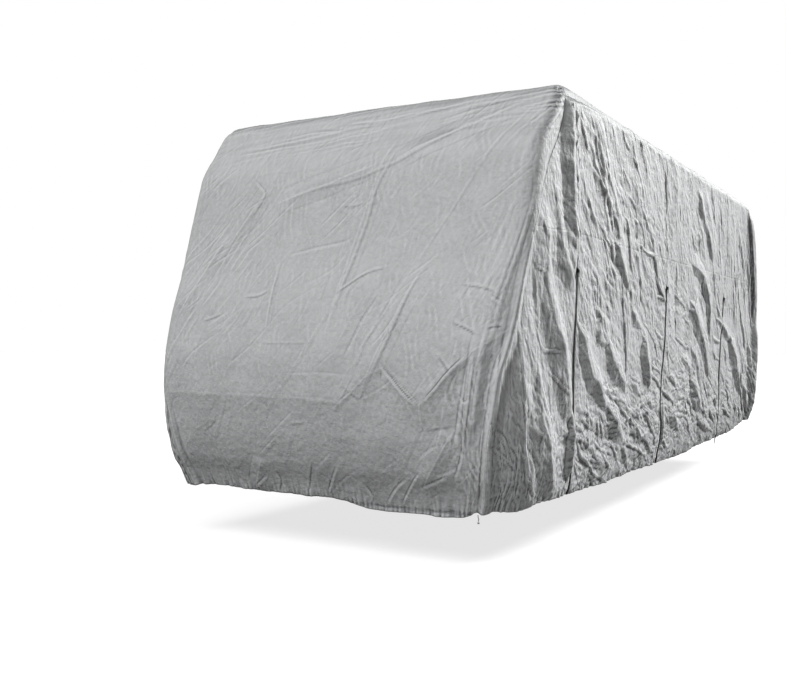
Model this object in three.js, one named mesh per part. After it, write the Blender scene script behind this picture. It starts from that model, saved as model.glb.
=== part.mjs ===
// A fitted caravan cover in grey non-woven cloth, hanging in the shape it takes in use.
// The tables below use a working frame in millimetres: x across from the middle line, y back from the
// nose, z up from the ground. The finished group is moved so that its origin lies under the middle of
// the roof, where the cover is held up. The nose faces -Y.
import * as THREE from 'three';

const { clamp, lerp } = THREE.MathUtils;

// Driving dimensions
const HALF_WIDTH = 1175;
const MIDDLE_SHIFT = -25;         // the middle line of the cover in the working frame
const ROOF = 2600;                // height of the roof planes before their edges are rounded
const MID_LENGTH = 3120;
const CLOTH = 3;                  // thickness of the doubled, sewn cloth
const SEAM_GAP = 0.7;             // between the edges of two sewn panels
const EDGE_RADIUS = 75;           // roof edges
const JOIN = 80;                  // how far a top corner seam ends from the planes that meet there
const CROSS_SEAM = 1790;          // height of the level seam in the sides
const HEM_LEVEL = 305;            // about where the hem lies, all round
const SEAM_CALM = 70;             // folds die out this far from a taut seam
const ROOF_CROWN = 22;
const NOSE_CROWN = 14;
// The top of the nose leans back on the right and forward on the left. The lean grows from a level
// upwards, and dies out along the roof.
const SKEW = { shift: 42, level: 2150, growth: 400, back: 700, fade: 2000 };
const EAR = { ahead: 70, spread: 95, reach: 8 };   // the loose ridge beside the tail corners
const FOLD_ENDS = 4;              // a fold fades in and out over this part of its length
const ZIP = { width: 20, coil: 8, raise: 2.4, top: 1590, tail: 52 };
const SLIDER = {
  seat: 0.4, length: 24, width: 12, plate: 3.5, leg: 4, foot: 9, crest: 9, slope: 2, floor: 4.5, ceiling: 7.5,
};
const PULLER = {
  head: 20, eye: 13.4, bar: 3, reach: 10, tab: 11, length: 38, chamfer: 2, lift: 4.8, thickness: 2.4,
};
const CORD = { across: 908, back: 156, top: 293.2, diameter: 5, drop: 34, knot: 7, sides: 8, steps: 8 };

// The end walls seen from the side: how far back each lies at each height
const NOSE = [
  { height: 290, back: 140 }, { height: 380, back: 108 }, { height: 510, back: 53 },
  { height: 700, back: 12 }, { height: 883, back: 0 }, { height: 1065, back: 8 },
  { height: 1250, back: 45 }, { height: 1435, back: 100 }, { height: 1625, back: 178 },
  { height: 1815, back: 245 }, { height: 2010, back: 303 }, { height: 2210, back: 370 },
  { height: 2430, back: 548 }, { height: 2600, back: 690 },
];
const TAIL = [
  { height: 290, back: 5850 }, { height: 420, back: 5960 }, { height: 550, back: 6050 },
  { height: 750, back: 6120 }, { height: 1000, back: 6170 }, { height: 1300, back: 6205 },
  { height: 1650, back: 6240 }, { height: 1900, back: 6210 }, { height: 2200, back: 6130 },
  { height: 2450, back: 6010 }, { height: 2600, back: 5900 },
];
// Radius of the upright corners
const CORNERS = [
  { height: 290, noseRight: 290, noseLeft: 150, tail: 190 },
  { height: 700, noseRight: 270, noseLeft: 140, tail: 170 },
  { height: 1100, noseRight: 230, noseLeft: 120, tail: 150 },
  { height: 1500, noseRight: 150, noseLeft: 110, tail: 130 },
  { height: 1900, noseRight: 100, noseLeft: 90, tail: 110 },
  { height: 2350, noseRight: 75, noseLeft: 75, tail: 75 },
  { height: 2600, noseRight: 75, noseLeft: 75, tail: 75 },
];
// How far the elastic hem draws the walls in, and how far the tail ridge stands out
const GIRTH = [
  { height: 290, drawn: 50, ear: 40 }, { height: 400, drawn: 26, ear: 75 },
  { height: 600, drawn: 5, ear: 85 }, { height: 900, drawn: 0, ear: 80 },
  { height: 1200, drawn: 0, ear: 70 }, { height: 1400, drawn: 0, ear: 46 },
  { height: 2000, drawn: 0, ear: 38 }, { height: 2400, drawn: 0, ear: 28 },
  { height: 2520, drawn: 0, ear: 0 }, { height: 2600, drawn: 0, ear: 0 },
];
// How the roof line rises and falls along its length
const ROOF_LINE = [
  { back: 500, lift: -18 }, { back: 900, lift: 12 }, { back: 1500, lift: 1 },
  { back: 3000, lift: -14 }, { back: 6100, lift: -41 },
];

// Seams. A run is the way back from the upright nose corner, and is negative on the nose itself.
const CORNER_SEAM = [
  { height: 297, run: -145 }, { height: 450, run: -123 }, { height: 683, run: -91 },
  { height: 853, run: -53 }, { height: 1011, run: -28 }, { height: 1169, run: 19 },
  { height: 1339, run: 43 }, { height: 1640, run: 52 }, { height: 1848, run: 88 },
  { height: 1957, run: 111 }, { height: 2141, run: 165 }, { height: 2277, run: 215 },
  { height: 2400, run: 170 }, { height: 2520, run: 80 },
];
const UPRIGHT_SEAMS = [
  [{ height: 297, back: 895 }, { height: 680, back: 882 }, { height: 852, back: 872 },
    { height: 1134, back: 886 }, { height: 1414, back: 917 }, { height: 1600, back: 932 },
    { height: 1900, back: 930 }, { height: 2390, back: 889 }, { height: 2525, back: 862 }],
  [{ height: 297, back: 2690 }, { height: 752, back: 2663 }, { height: 1259, back: 2759 },
    { height: 1540, back: 2797 }, { height: 1885, back: 2815 }, { height: 2525, back: 2816 }],
  [{ height: 297, back: 4610 }, { height: 467, back: 4554 }, { height: 871, back: 4556 },
    { height: 1355, back: 4654 }, { height: 1530, back: 4709 }, { height: 2012, back: 4860 },
    { height: 2525, back: 4870 }],
];
const TAIL_SEAM_RUN = JOIN;       // ahead of the tail corner, all the way down
// The seam between a side and the roof: how far above the roof edge it runs, over the roof if positive
const ROOF_SEAM = [
  { back: 700, rise: -JOIN }, { back: 890, rise: -JOIN }, { back: 990, rise: -68 },
  { back: 1260, rise: -46 }, { back: 1440, rise: -26 }, { back: 1660, rise: 14 },
  { back: 2100, rise: 50 }, { back: 5200, rise: 50 }, { back: 5600, rise: -30 },
  { back: 5800, rise: -JOIN }, { back: 6000, rise: -JOIN },
];
// Lower edge
const SIDE_HEM = [
  { back: -50, height: 297 }, { back: 60, height: 297 }, { back: 232, height: 293 },
  { back: 494, height: 323 }, { back: 876, height: 311 }, { back: 1552, height: 297 },
  { back: 2067, height: 299 }, { back: 2696, height: 291 }, { back: 3406, height: 280 },
  { back: 4019, height: 302 }, { back: 4941, height: 309 }, { back: 5450, height: 345 },
  { back: 5700, height: 385 }, { back: 5900, height: 385 },
];
const NOSE_HEM = [
  { across: -1175, height: 297 }, { across: -1010, height: 297 }, { across: -815, height: 306 },
  { across: -537, height: 302 }, { across: -28, height: 301 }, { across: 153, height: 289 },
  { across: 302, height: 266 }, { across: 409, height: 262 }, { across: 648, height: 269 },
  { across: 736, height: 262 }, { across: 870, height: 270 }, { across: 1010, height: 297 },
  { across: 1175, height: 297 },
];
const TAIL_HEM = [
  { across: -1175, height: 385 }, { across: -1030, height: 385 }, { across: -500, height: 350 },
  { across: 200, height: 340 }, { across: 700, height: 356 }, { across: 1030, height: 385 },
  { across: 1175, height: 385 },
];

// Main folds. Each runs from its first place to its second, bowed sideways at its middle, and rises
// over a width ahead of its line and another behind it. On a side a place is [back, height]; on an
// end, and on the roof, it is [across, height] and [across, run].
const RIGHT_FOLDS = [
  { from: [875, 2560], to: [935, 1560], bow: 10, ahead: 170, behind: 60, rise: 51 },
  { from: [560, 2060], to: [905, 1500], bow: 0, ahead: 60, behind: 50, rise: 19 },
  { from: [430, 2000], to: [835, 780], bow: -55, ahead: 150, behind: 60, rise: 57 },
  { from: [350, 1200], to: [575, 330], bow: -20, ahead: 60, behind: 60, rise: 35 },
  { from: [195, 1000], to: [310, 370], bow: -25, ahead: 50, behind: 45, rise: 24 },
  { from: [330, 1640], to: [420, 1200], bow: 0, ahead: 60, behind: 50, rise: -27 },
  { from: [1060, 2550], to: [1210, 2220], bow: 0, ahead: 60, behind: 50, rise: 27 },
  { from: [1225, 2560], to: [1680, 1980], bow: -20, ahead: 120, behind: 60, rise: 51 },
  { from: [1600, 2080], to: [1870, 1430], bow: 25, ahead: 120, behind: 65, rise: 51 },
  { from: [1860, 1540], to: [1845, 960], bow: 10, ahead: 65, behind: 55, rise: 32 },
  { from: [1840, 2000], to: [2160, 1260], bow: -20, ahead: 95, behind: 60, rise: 38 },
  { from: [2090, 1790], to: [2195, 1390], bow: 0, ahead: 50, behind: 45, rise: -30 },
  { from: [2200, 1300], to: [2430, 840], bow: 10, ahead: 140, behind: 60, rise: 46 },
  { from: [940, 1280], to: [1200, 940], bow: 0, ahead: 90, behind: 60, rise: 46 },
  { from: [1110, 1040], to: [1880, 470], bow: 0, ahead: 120, behind: 85, rise: 62 },
  { from: [1760, 560], to: [2420, 340], bow: 0, ahead: 60, behind: 55, rise: 32 },
  { from: [1480, 1200], to: [1860, 820], bow: 10, ahead: 150, behind: 60, rise: 51 },
  { from: [1150, 1900], to: [1310, 1540], bow: 0, ahead: 70, behind: 60, rise: 19 },
  { from: [1950, 2480], to: [2200, 2130], bow: 0, ahead: 70, behind: 60, rise: 22 },
  { from: [2180, 2200], to: [2540, 1800], bow: 0, ahead: 80, behind: 60, rise: 20 },
  { from: [2480, 1780], to: [2770, 1450], bow: 0, ahead: 55, behind: 50, rise: 27 },
  { from: [2450, 1160], to: [2560, 620], bow: 0, ahead: 60, behind: 55, rise: 24 },
  { from: [3160, 2560], to: [2860, 1720], bow: 0, ahead: 55, behind: 90, rise: 32 },
  { from: [3060, 1720], to: [3100, 1150], bow: 0, ahead: 50, behind: 45, rise: -30 },
  { from: [3180, 1180], to: [3420, 560], bow: 0, ahead: 90, behind: 60, rise: 24 },
  { from: [3960, 2500], to: [4400, 1860], bow: 10, ahead: 140, behind: 70, rise: 57 },
  { from: [3780, 2260], to: [4160, 1680], bow: 0, ahead: 65, behind: 55, rise: 27 },
  { from: [3860, 1880], to: [4240, 1460], bow: 30, ahead: 160, behind: 70, rise: 62 },
  { from: [4225, 1580], to: [4205, 1060], bow: 0, ahead: 120, behind: 65, rise: 51 },
  { from: [3580, 1650], to: [4220, 980], bow: 10, ahead: 130, behind: 70, rise: 54 },
  { from: [3600, 1260], to: [4010, 780], bow: 10, ahead: 110, behind: 60, rise: 43 },
  { from: [3520, 900], to: [3980, 520], bow: 0, ahead: 110, behind: 60, rise: 40 },
  { from: [4480, 1360], to: [5170, 1170], bow: 15, ahead: 70, behind: 65, rise: 32 },
  { from: [5060, 1270], to: [5600, 580], bow: 30, ahead: 160, behind: 80, rise: 62 },
  { from: [5430, 1540], to: [5720, 1040], bow: 0, ahead: 60, behind: 60, rise: -46 },
  { from: [5860, 2200], to: [6030, 1220], bow: 20, ahead: 80, behind: 70, rise: -35 },
  { from: [5180, 2450], to: [5100, 1700], bow: 0, ahead: 90, behind: 90, rise: 19 },
  { from: [5560, 860], to: [5840, 430], bow: 0, ahead: 70, behind: 60, rise: 30 },
  { from: [4220, 680], to: [4460, 380], bow: 0, ahead: 70, behind: 60, rise: 24 },
  { from: [2900, 760], to: [3160, 400], bow: 0, ahead: 70, behind: 60, rise: 22 },
];
const LEFT_FOLDS = [
  { from: [900, 2500], to: [700, 1300], bow: 0, ahead: 90, behind: 80, rise: 30 },
  { from: [1300, 2480], to: [1750, 1350], bow: 30, ahead: 130, behind: 80, rise: 38 },
  { from: [1000, 1350], to: [1700, 450], bow: 0, ahead: 120, behind: 80, rise: 42 },
  { from: [2350, 2450], to: [2200, 1500], bow: 0, ahead: 80, behind: 80, rise: -25 },
  { from: [2300, 1500], to: [2900, 520], bow: 20, ahead: 130, behind: 80, rise: 42 },
  { from: [3250, 2480], to: [3700, 1500], bow: 20, ahead: 110, behind: 80, rise: 35 },
  { from: [3600, 1300], to: [4150, 450], bow: 0, ahead: 120, behind: 80, rise: 40 },
  { from: [4500, 2420], to: [4400, 1400], bow: 0, ahead: 90, behind: 80, rise: 25 },
  { from: [4700, 1400], to: [5350, 500], bow: 20, ahead: 140, behind: 80, rise: 45 },
  { from: [5500, 2300], to: [5750, 1300], bow: 0, ahead: 90, behind: 80, rise: -28 },
];
const NOSE_FOLDS = [
  { from: [290, 2470], to: [40, 1150], bow: -30, ahead: 70, behind: 60, rise: 14 },
  { from: [620, 1640], to: [270, 850], bow: 0, ahead: 70, behind: 60, rise: 16 },
  { from: [400, 1080], to: [680, 850], bow: 0, ahead: 50, behind: 50, rise: -15 },
  { from: [640, 850], to: [980, 1190], bow: 0, ahead: 50, behind: 50, rise: 14 },
  { from: [360, 1480], to: [170, 1080], bow: 0, ahead: 60, behind: 60, rise: -9 },
  { from: [1010, 2520], to: [230, 2180], bow: 0, ahead: 70, behind: 60, rise: 11 },
  { from: [260, 2210], to: [-560, 1990], bow: 0, ahead: 70, behind: 60, rise: 9 },
  { from: [-560, 2130], to: [-820, 1740], bow: 0, ahead: 60, behind: 60, rise: 9 },
  { from: [-820, 1860], to: [-1080, 1320], bow: 0, ahead: 60, behind: 60, rise: 10 },
  { from: [1010, 1260], to: [930, 640], bow: 10, ahead: 60, behind: 55, rise: 22 },
  { from: [940, 1220], to: [800, 560], bow: 0, ahead: 60, behind: 60, rise: -14 },
  { from: [850, 760], to: [620, 400], bow: 0, ahead: 60, behind: 50, rise: 12 },
  { from: [-420, 520], to: [-560, 300], bow: 0, ahead: 50, behind: 50, rise: 10 },
];
const TAIL_FOLDS = [
  { from: [-950, 2450], to: [-500, 1300], bow: 40, ahead: 110, behind: 90, rise: 20 },
  { from: [950, 2450], to: [560, 1350], bow: -30, ahead: 90, behind: 100, rise: 18 },
  { from: [-820, 1300], to: [-620, 420], bow: 0, ahead: 90, behind: 80, rise: 22 },
  { from: [-250, 1500], to: [-120, 400], bow: 0, ahead: 90, behind: 80, rise: -16 },
  { from: [330, 1400], to: [240, 400], bow: 0, ahead: 90, behind: 80, rise: 18 },
  { from: [820, 1250], to: [700, 420], bow: 0, ahead: 80, behind: 80, rise: -18 },
];
const ROOF_FOLDS = [
  { from: [-700, 500], to: [500, 900], bow: 60, ahead: 160, behind: 160, rise: -12 },
  { from: [650, 1700], to: [-500, 2150], bow: 0, ahead: 160, behind: 160, rise: -11 },
  { from: [-800, 2900], to: [600, 3200], bow: -50, ahead: 170, behind: 170, rise: -13 },
  { from: [750, 4000], to: [-600, 4500], bow: 40, ahead: 160, behind: 160, rise: -11 },
];
// Low swells all over the cloth: wavelengths along and up, the phase, and the height
const SWELLS = [
  { along: 920, up: 1500, phase: 0.4, rise: 5 }, { along: 410, up: -1050, phase: 2.1, rise: 4 },
  { along: 260, up: 730, phase: 4.4, rise: 2.5 }, { along: -340, up: 520, phase: 1.2, rise: 2.5 },
];

// Where the cut pieces are stitched together from a grid
const ZIP_EDGES = [1, 2, 3];      // the upright edges of the side panels that hold a zip
const LOWER_ROWS = 7;             // from the hem to the top of the zips
const ABOVE_ZIP = 0.02;           // the seam closes again this share of the way above a zip
const UPPER_ROWS = [0, 0.28, 0.55, 0.8, 0.92, 1];
const SIDE_COLUMNS = [11, 18, 17, 14];
const SMALLEST = 0.5;             // step used to find which way the cloth faces

const CLOTH_TONE = 0xb4b7b9;
const cloth = () => new THREE.MeshStandardMaterial({ color: CLOTH_TONE, roughness: 0.62, metalness: 0 });
const zipTape = () => new THREE.MeshStandardMaterial({ color: 0x1d1e20, roughness: 0.6, metalness: 0 });
const zipMetal = () => new THREE.MeshStandardMaterial({ color: 0x26272a, roughness: 0.4, metalness: 0.6 });
const cordGrey = () => new THREE.MeshStandardMaterial({ color: 0x9a9b9c, roughness: 0.8, metalness: 0 });

const ease = t => THREE.MathUtils.smoothstep(t, 0, 1);

// A smooth curve through the rows of a table, which doesn't overshoot between them
function along(rows, from, to) {
  const pitch = rows.slice(1).map((row, i) => (row[to] - rows[i][to]) / (row[from] - rows[i][from]));
  const slope = rows.map((row, i) => {
    const before = pitch[i - 1] ?? pitch[i];
    const after = pitch[i] ?? before;
    return before * after > 0 ? 2 * before * after / (before + after) : 0;
  });
  return at => {
    const x = clamp(at, rows[0][from], rows.at(-1)[from]);
    const k = clamp(rows.findLastIndex(row => row[from] <= x), 0, rows.length - 2);
    const span = rows[k + 1][from] - rows[k][from];
    const t = (x - rows[k][from]) / span;
    const start = (1 + 2 * t) * (1 - t) ** 2 * rows[k][to] + t * (1 - t) ** 2 * span * slope[k];
    const finish = t * t * (3 - 2 * t) * rows[k + 1][to] + t * t * (t - 1) * span * slope[k + 1];
    return start + finish;
  };
}

const noseBack = along(NOSE, 'height', 'back');
const tailBack = along(TAIL, 'height', 'back');
const length = height => tailBack(height) - noseBack(height);
const drawnIn = along(GIRTH, 'height', 'drawn');
const earOut = along(GIRTH, 'height', 'ear');
const roofLift = along(ROOF_LINE, 'back', 'lift');
const cornerSeam = along(CORNER_SEAM, 'height', 'run');
const uprightSeams = UPRIGHT_SEAMS.map(rows => along(rows, 'height', 'back'));
const roofSeam = along(ROOF_SEAM, 'back', 'rise');
const sideHem = along(SIDE_HEM, 'back', 'height');
const cornerRadii = {
  noseRight: along(CORNERS, 'height', 'noseRight'),
  noseLeft: along(CORNERS, 'height', 'noseLeft'),
  tail: along(CORNERS, 'height', 'tail'),
};

// Rounds the edges where an end wall, a side wall and the roof meet. The gaps are a point's distances
// inside the end wall, inside the side wall and under the roof. One of them is nothing.
function soften(gaps, cornerRadius) {
  const wall = gaps.indexOf(Math.min(...gaps));
  const [a, b] = [0, 1, 2].filter(k => k !== wall);
  const radius = k => (wall + k === 1 ? cornerRadius : EDGE_RADIUS);
  const turn = k => Math.max(0, 1 - gaps[k] / radius(k));
  const sink = k => radius(k) * (1 - Math.cos(turn(k) * Math.PI / 4));
  const reach = k => (turn(k) > 0 ? radius(k) * (1 - Math.sin(turn(k) * Math.PI / 4)) : gaps[k]);
  const soft = [];
  soft[wall] = sink(a) + sink(b);
  soft[a] = reach(a) + turn(a) * sink(b);
  soft[b] = reach(b) + turn(b) * sink(a);
  return soft;
}

// A point of the cover without its folds
function place(hand, end, flank, under, atTail) {
  const corner = atTail ? 'tail' : (hand > 0 ? 'noseRight' : 'noseLeft');
  const [inEnd, inSide, inRoof] = soften([end, flank, under], cornerRadii[corner](ROOF - under));
  const z = ROOF - inRoof;
  const y = atTail ? tailBack(z) - inEnd : noseBack(z) + inEnd;
  const ridge = Math.exp(-(((tailBack(z) - y - EAR.ahead) / EAR.spread) ** 2));
  const out = earOut(z) * ridge * clamp(1 - inSide / HALF_WIDTH, 0, 1) ** EAR.reach;
  const nearSide = Math.max(1 - inSide / HALF_WIDTH, 0);
  const x = hand * (HALF_WIDTH - inSide - drawnIn(z) * nearSide + out);
  const lean = ease((z - SKEW.level) / SKEW.growth) * ease(1 - (y - SKEW.back) / SKEW.fade);
  const skew = SKEW.shift * (x / HALF_WIDTH) * lean;
  return new THREE.Vector3(x + MIDDLE_SHIFT, y + skew, z + roofLift(y) * z / ROOF);
}

// The three ways to lay a point on the cover. A rise is the way up from the roof edge: negative down
// the wall, positive in over the roof.
function onSide(hand, run, rise) {
  const span = length(ROOF + Math.min(rise, 0));
  const atTail = run > span / 2;
  const round = Math.max(-run, run - span, 0);
  const end = Math.max(atTail ? span - run : run, 0);
  return place(hand, end, rise > 0 ? rise : round, Math.max(-rise, 0), atTail);
}
function onEnd(atTail, across, rise) {
  const past = Math.abs(across) - HALF_WIDTH;
  const end = rise > 0 ? rise : Math.max(past, 0);
  return place(across < 0 ? -1 : 1, end, Math.max(-past, 0), Math.max(-rise, 0), atTail);
}
function onRoof(across, run) {
  const past = Math.abs(across) - HALF_WIDTH;
  const span = length(ROOF - Math.max(past, 0));
  const atTail = run > span / 2;
  const end = atTail ? span - run : run;
  return place(across < 0 ? -1 : 1, end, Math.max(-past, 0), Math.max(past, 0), atTail);
}

// How far one fold lifts the cloth at a place
function lift(fold, a, b) {
  const [da, db] = [fold.to[0] - fold.from[0], fold.to[1] - fold.from[1]];
  const size = Math.hypot(da, db);
  const t = ((a - fold.from[0]) * da + (b - fold.from[1]) * db) / size ** 2;
  if (t <= 0 || t >= 1) return 0;
  const beside = ((b - fold.from[1]) * da - (a - fold.from[0]) * db) / size - fold.bow * 4 * t * (1 - t);
  const width = beside < 0 ? fold.ahead : fold.behind;
  return fold.rise * Math.exp(-((beside / width) ** 2)) * ease(t * FOLD_ENDS) * ease((1 - t) * FOLD_ENDS);
}
const lifts = (folds, a, b) => folds.reduce((sum, fold) => sum + lift(fold, a, b), 0);
const swell = (a, b, phase) => SWELLS.reduce((sum, s) =>
  sum + s.rise * Math.sin(2 * Math.PI * (a / s.along + b / s.up) + s.phase + phase), 0);

// Each kind of panel: where its places lie, how its folds lift it, and which way is out
function sidePanel(hand, folds, phase) {
  return {
    out: hand,
    base: (run, rise) => onSide(hand, run, rise),
    fold: (run, rise) => {
      const height = ROOF + Math.min(rise, 0);
      const back = noseBack(height) + run;
      const calm = ease((run - cornerSeam(height)) / SEAM_CALM)
        * ease((length(height) - TAIL_SEAM_RUN - run) / SEAM_CALM)
        * ease((roofSeam(back) - rise) / SEAM_CALM);
      return calm * (lifts(folds, back, ROOF + rise) + swell(back, rise, phase));
    },
  };
}
function endPanel(atTail, folds, crown) {
  const edge = height => HALF_WIDTH + (atTail ? TAIL_SEAM_RUN : cornerSeam(height));
  return {
    out: atTail ? -1 : 1,
    base: (across, rise) => onEnd(atTail, across, rise),
    fold: (across, rise) => {
      const height = ROOF + Math.min(rise, 0);
      const inside = edge(height) - Math.abs(across);
      const calm = ease(inside / SEAM_CALM) * ease((JOIN - rise) / SEAM_CALM / 2);
      const shape = crown * (1 - (across / edge(height)) ** 2);
      return calm * (shape + lifts(folds, across + MIDDLE_SHIFT, ROOF + rise) + swell(across, rise, 1) / 2);
    },
  };
}
function roofPanel(folds, crown) {
  return {
    out: 1,
    base: onRoof,
    fold: (across, run) => {
      const ends = Math.min(run, length(ROOF) - run) - JOIN;
      const calm = ease(ends / SEAM_CALM / 4) * ease((HALF_WIDTH - JOIN - Math.abs(across)) / SEAM_CALM / 3);
      const shape = crown * (1 - (across / HALF_WIDTH) ** 2);
      return calm * (shape + lifts(folds, across, run) + swell(across, run, 3) / 2);
    },
  };
}

// Which way the cloth faces at a place, before it is folded
function facing(panel, a, b) {
  const step = (da, db) => panel.base(a + da, b + db).sub(panel.base(a - da, b - db));
  return step(SMALLEST, 0).cross(step(0, SMALLEST)).normalize().multiplyScalar(panel.out);
}
// The outer and inner face of the cloth at a place, lifted further by `proud`
function clothAt(panel, a, b, proud = 0) {
  const face = facing(panel, a, b);
  const outer = panel.base(a, b).addScaledVector(face, panel.fold(a, b));
  return [outer.clone().addScaledVector(face, proud), outer.addScaledVector(face, -CLOTH)];
}

// A closed sheet from a grid of outer and inner points. Each quad is cut along the diagonal that lies
// closer to the folded surface at its middle.
function sheet(name, columns, rows, at, material) {
  const wide = columns.length;
  const pairs = rows.flatMap(v => columns.map(u => at(u, v)));
  const inner = pairs.length;
  const faces = [];
  for (let j = 0; j + 1 < rows.length; j += 1) {
    for (let i = 0; i + 1 < wide; i += 1) {
      const [a, b, c, d] = [j * wide + i, j * wide + i + 1, (j + 1) * wide + i + 1, (j + 1) * wide + i];
      const [middle] = at((columns[i] + columns[i + 1]) / 2, (rows[j] + rows[j + 1]) / 2);
      const miss = (p, q) => pairs[p][0].clone().add(pairs[q][0]).multiplyScalar(0.5).distanceTo(middle);
      const cut = miss(a, c) < miss(b, d) ? [[a, b, c], [a, c, d]] : [[a, b, d], [b, c, d]];
      cut.forEach(([p, q, r]) => faces.push(p, q, r, r + inner, q + inner, p + inner));
    }
  }
  const last = (rows.length - 1) * wide;
  const rim = [
    ...columns.keys(),
    ...rows.keys().drop(1).map(j => j * wide + wide - 1),
    ...columns.keys().drop(1).map(i => last + wide - 1 - i),
    ...rows.keys().drop(1).map(j => last - j * wide),
  ];
  rim.slice(1).forEach((q, k) => faces.push(q, rim[k], rim[k] + inner, q, rim[k] + inner, q + inner));
  const geometry = new THREE.BufferGeometry();
  const points = [...pairs.map(pair => pair[0]), ...pairs.map(pair => pair[1])];
  geometry.setAttribute('position', new THREE.Float32BufferAttribute(points.flatMap(p => p.toArray()), 3));
  geometry.setIndex(volume(points, faces) < 0 ? faces.reverse() : faces);
  geometry.computeVertexNormals();
  return named(name, geometry, material);
}
function volume(points, faces) {
  let sum = 0;
  for (let k = 0; k < faces.length; k += 3) {
    sum += points[faces[k]].dot(points[faces[k + 1]].clone().cross(points[faces[k + 2]]));
  }
  return sum / 6;
}
function named(name, geometry, material) {
  const mesh = new THREE.Mesh(geometry, material);
  mesh.name = name;
  return mesh;
}
const spread = (count, from = 0, to = 1) =>
  Array.from({ length: count + 1 }, (_, i) => lerp(from, to, i / count));
const mirrored = half => [...half.slice(1).reverse().map(u => -u), ...half];

// How far up a lower panel the zips reach, as a share of the way from hem to level seam
const ZIP_SHARE = (ZIP.top - HEM_LEVEL) / (CROSS_SEAM - HEM_LEVEL);
const ZIP_ROWS = spread(LOWER_ROWS, 0, ZIP_SHARE);
const SIDE_LOWER = [...ZIP_ROWS, ZIP_SHARE + ABOVE_ZIP, 1];

// The upright edges of the side panels as runs at a height: corner seam, three seams, tail seam
const sideEdges = [
  cornerSeam,
  ...uprightSeams.map(seam => height => seam(height) - noseBack(height)),
  height => length(height) - TAIL_SEAM_RUN,
];

// A side panel between two of those edges, above or below the level seam. Its upright edges are set
// back below the tops of the zips that lie along them.
function sidePiece(name, panel, edges, columns, upper, zips) {
  const [first, final] = edges;
  const count = columns.reduce((sum, n) => sum + n, 0);
  const stops = columns.reduce((list, n) => [...list, list.at(-1) + n], [0]);
  const setBack = (edge, v) => (zips.includes(edge) && !upper && v <= ZIP_SHARE ? ZIP.width : SEAM_GAP) / 2;
  const runAt = (u, height, v) => {
    const k = clamp(stops.findLastIndex(stop => stop <= u), 0, columns.length - 1);
    const [low, high] = [first + k, first + k + 1].map(edge => sideEdges[edge](height));
    const run = lerp(low, high, (u - stops[k]) / columns[k]);
    const start = sideEdges[first](height) + setBack(first, v);
    return clamp(run, start, sideEdges[final](height) - setBack(final, v));
  };
  const at = (u, v) => {
    const foot = sideHem(runAt(u, HEM_LEVEL, 0) + noseBack(HEM_LEVEL));
    const top = roofSeam(runAt(u, ROOF - JOIN, 1) + noseBack(ROOF - JOIN));
    const rise = upper
      ? clamp(lerp(CROSS_SEAM - ROOF, top, v), CROSS_SEAM - ROOF + SEAM_GAP / 2, top - SEAM_GAP / 2)
      : Math.min(lerp(foot, CROSS_SEAM, v), CROSS_SEAM - SEAM_GAP / 2) - ROOF;
    return clothAt(panel, runAt(u, Math.min(ROOF, ROOF + rise), v), rise);
  };
  return sheet(name, spread(count, 0, count), upper ? UPPER_ROWS : SIDE_LOWER, at, cloth());
}

// The nose or tail panel, from hem to a seam just over the roof edge
const END_COLUMNS = [0, 0.14, 0.28, 0.42, 0.55, 0.67, 0.78, 0.8725, 0.915, 0.9575, 1];
const CORNER_COLUMNS = END_COLUMNS.slice(-4);
function endPiece(name, panel, atTail, hem, half) {
  const edge = height => HALF_WIDTH + (atTail ? TAIL_SEAM_RUN : cornerSeam(height));
  const endRows = [...SIDE_LOWER, ...UPPER_ROWS.slice(1).map(v => 1 + v)];
  const at = (u, v) => {
    const crest = clamp(HALF_WIDTH - Math.abs(u) * (HALF_WIDTH + JOIN), -JOIN, JOIN);
    const foot = hem(u * edge(HEM_LEVEL));
    const rise = v <= 1 ? lerp(foot, CROSS_SEAM, v) - ROOF : lerp(CROSS_SEAM - ROOF, crest, v - 1);
    const height = Math.min(ROOF + rise, ROOF);
    const rim = edge(height) - SEAM_GAP / 2;
    return clothAt(panel, clamp(u * edge(height), -rim, rim), Math.min(rise, crest - SEAM_GAP / 2));
  };
  return sheet(name, mirrored(half), endRows, at, cloth());
}

// The roof panel, between the nose and tail seams and the two side seams
function roofPiece(name, panel) {
  const stops = SIDE_COLUMNS.reduce((list, n) => [...list, list.at(-1) + n], [0]);
  const count = stops.at(-1);
  const runAt = (v, height) => {
    const k = clamp(stops.findLastIndex(stop => stop <= v), 0, SIDE_COLUMNS.length - 1);
    return lerp(sideEdges[k](height), sideEdges[k + 1](height), (v - stops[k]) / SIDE_COLUMNS[k]);
  };
  const at = (u, v) => {
    const rise = roofSeam(runAt(v, ROOF - JOIN) + noseBack(ROOF - JOIN));
    const height = Math.min(ROOF, ROOF + rise);
    const rim = HALF_WIDTH - rise - SEAM_GAP / 2;
    const across = clamp(u * (HALF_WIDTH - rise), -rim, rim);
    const inset = Math.min(JOIN, Math.abs(HALF_WIDTH - Math.abs(u) * (HALF_WIDTH + JOIN)));
    const hung = Math.max(Math.abs(across) - HALF_WIDTH, 0);
    const share = (runAt(v, height) - JOIN) / (length(height) - 2 * JOIN);
    const run = lerp(inset, length(ROOF - hung) - inset, share);
    const start = inset + SEAM_GAP / 2;
    return clothAt(panel, across, clamp(run, start, length(ROOF - hung) - start));
  };
  return sheet(name, mirrored([0, 0.45, ...CORNER_COLUMNS]), spread(count, 0, count), at, cloth());
}

const right = sidePanel(1, RIGHT_FOLDS, 0);
const left = sidePanel(-1, LEFT_FOLDS, 2);

const zipHeight = (seam, v) => lerp(sideHem(uprightSeams[seam](HEM_LEVEL)), CROSS_SEAM, v);
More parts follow.
